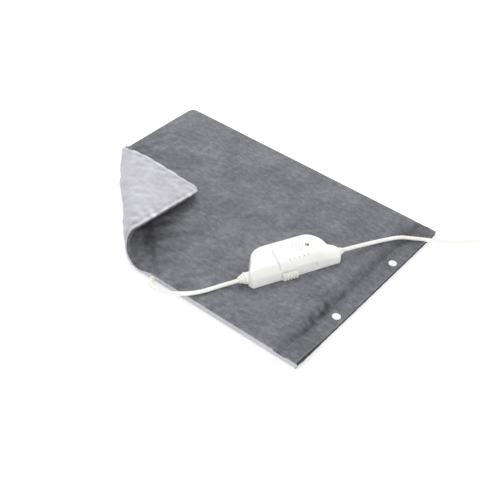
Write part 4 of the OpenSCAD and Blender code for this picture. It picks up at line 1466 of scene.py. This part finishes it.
def stop_numbers():
    """The digits 0 to 4 along the slider, laid on the casing's top."""
    first_u, pitch, row_n = 51.9, 6.15, 6.3
    digits = []
    for i in range(5):
        curve = bpy.data.curves.new(f"digit_{i}", "FONT")
        curve.body = str(i)
        curve.size = 3.9 * MM
        curve.extrude = 0.06 * MM
        curve.align_x, curve.align_y = "CENTER", "CENTER"
        ob = bpy.data.objects.new(f"digit_{i}", curve)
        SCENE.collection.objects.link(ob)
        digits.append(ob)
    bpy.context.view_layer.update()
    depsgraph = bpy.context.evaluated_depsgraph_get()
    points, faces = [], []
    for i, ob in enumerate(digits):
        me = ob.evaluated_get(depsgraph).to_mesh()
        base = len(points)
        for v in me.vertices:
            u, n = first_u + pitch * i + v.co.x / MM, row_n + v.co.y / MM
            points.append(on_casing(u, n, casing_top(u, n) + v.co.z / MM + 0.07))
        faces += [tuple(base + k for k in p.vertices) for p in me.polygons]
        ob.evaluated_get(depsgraph).to_mesh_clear()
    for ob in digits:
        curve = ob.data
        bpy.data.objects.remove(ob)
        bpy.data.curves.remove(curve)
    ob = mesh_object("stop_numbers", points, faces, PRINT, smooth=False)
    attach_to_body(ob, "pad")


def groove_floor():
    """Grey strip of painted shade on the floor of the groove across the casing's top: an upper and a
    lower layer.
    """
    ns = np.linspace(-0.6, 28.4, 60)
    across = (-1.1, -0.55, 0.0, 0.55, 1.1)
    points = []
    for lift in (0.035, -0.15):
        for n in ns:
            for du in across:
                u = groove_u(n) + du
                points.append(on_casing(u, n, casing_top(u, n) + lift))
    low = len(points) // 2
    faces = []
    for i in range(len(ns) - 1):
        for a in range(i * 5, i * 5 + 4):
            faces.append((a, a + 1, a + 6, a + 5))
            faces.append((low + a + 5, low + a + 6, low + a + 1, low + a))
        a, b = i * 5, i * 5 + 4
        faces.append((a, a + 5, low + a + 5, low + a))
        faces.append((low + b, low + b + 5, b + 5, b))
    for a in range(4):
        faces.append((a + 1, a, low + a, low + a + 1))
    for a in range((len(ns) - 1) * 5, (len(ns) - 1) * 5 + 4):
        faces.append((a, a + 1, low + a + 1, low + a))
    solid("groove_floor", points, faces, GROOVE_SHADE_GREY, "casing_white")


stop_numbers()
groove_floor()


# ---------------------------------------------------------------- floor, light and camera (metres)
def make_floor():
    half, z = 6.0, -0.0003
    me = bpy.data.meshes.new("floor")
    me.from_pydata([(-half, -half, z), (half, -half, z), (half, half, z), (-half, half, z)], [],
                   [(0, 1, 2, 3)])
    floor = bpy.data.objects.new("floor", me)
    SCENE.collection.objects.link(floor)
    material, _, shader = new_material("floor_white")
    set_inputs(shader, {"Base Color": (0.93, 0.93, 0.93, 1), "Roughness": 0.9,
                        "Specular IOR Level": 0.1, "Emission Color": (1, 1, 1, 1),
                        "Emission Strength": 0.28})
    me.materials.append(material)


def make_world():
    world = bpy.data.worlds.new("studio")
    SCENE.world = world
    world.use_nodes = True
    set_inputs(world.node_tree.nodes["Background"],
               {"Color": (1.0, 1.0, 1.0, 1), "Strength": 0.70})


def area_light(name, location, target, size, power):
    light = bpy.data.lights.new(name, "AREA")
    light.shape = "RECTANGLE"
    light.size, light.size_y = size
    light.energy = power
    ob = bpy.data.objects.new(name, light)
    ob.location = location
    ob.rotation_mode = "QUATERNION"
    ob.rotation_quaternion = (Vector(target) - Vector(location)).to_track_quat("-Z", "Y")
    SCENE.collection.objects.link(ob)


def make_camera():
    azimuth, elevation, roll = map(math.radians, (35.196, 40.471, 5.060))
    offset = (5.033, -24.398, 1179.055)     # mm from the origin, along the camera's own axes
    back = np.array([math.sin(azimuth) * math.cos(elevation),
                     -math.cos(azimuth) * math.cos(elevation), math.sin(elevation)])
    level = np.array([math.cos(azimuth), math.sin(azimuth), 0.0])
    upright = np.cross(back, level)
    right = level * math.cos(roll) + upright * math.sin(roll)
    up = -level * math.sin(roll) + upright * math.cos(roll)
    axes = np.array([right, up, back]).T
    place = axes @ np.array(offset) * MM
    data = bpy.data.cameras.new("camera")
    camera = bpy.data.objects.new("camera", data)
    SCENE.collection.objects.link(camera)
    data.sensor_width = 36.0
    data.lens = 71.1417
    data.clip_start, data.clip_end = 0.05, 20.0
    camera.matrix_world = Matrix([[*axes[i], place[i]] for i in range(3)] + [[0, 0, 0, 1]])
    SCENE.camera = camera


make_floor()
make_world()
area_light("key", (-0.9, 0.9, 1.5), target=(0, 0, 0), size=(1.3, 1.3), power=19.8)
area_light("fill", (0.9, -1.2, 1.2), target=(0, 0, 0), size=(1.2, 1.2), power=5.0)
area_light("front", (1.9, -0.85, 0.42), target=(0.1, -0.05, 0.02), size=(1.4, 0.6), power=5.0)
SCENE.view_settings.view_transform = "Standard"
make_camera()

bpy.context.view_layer.update()
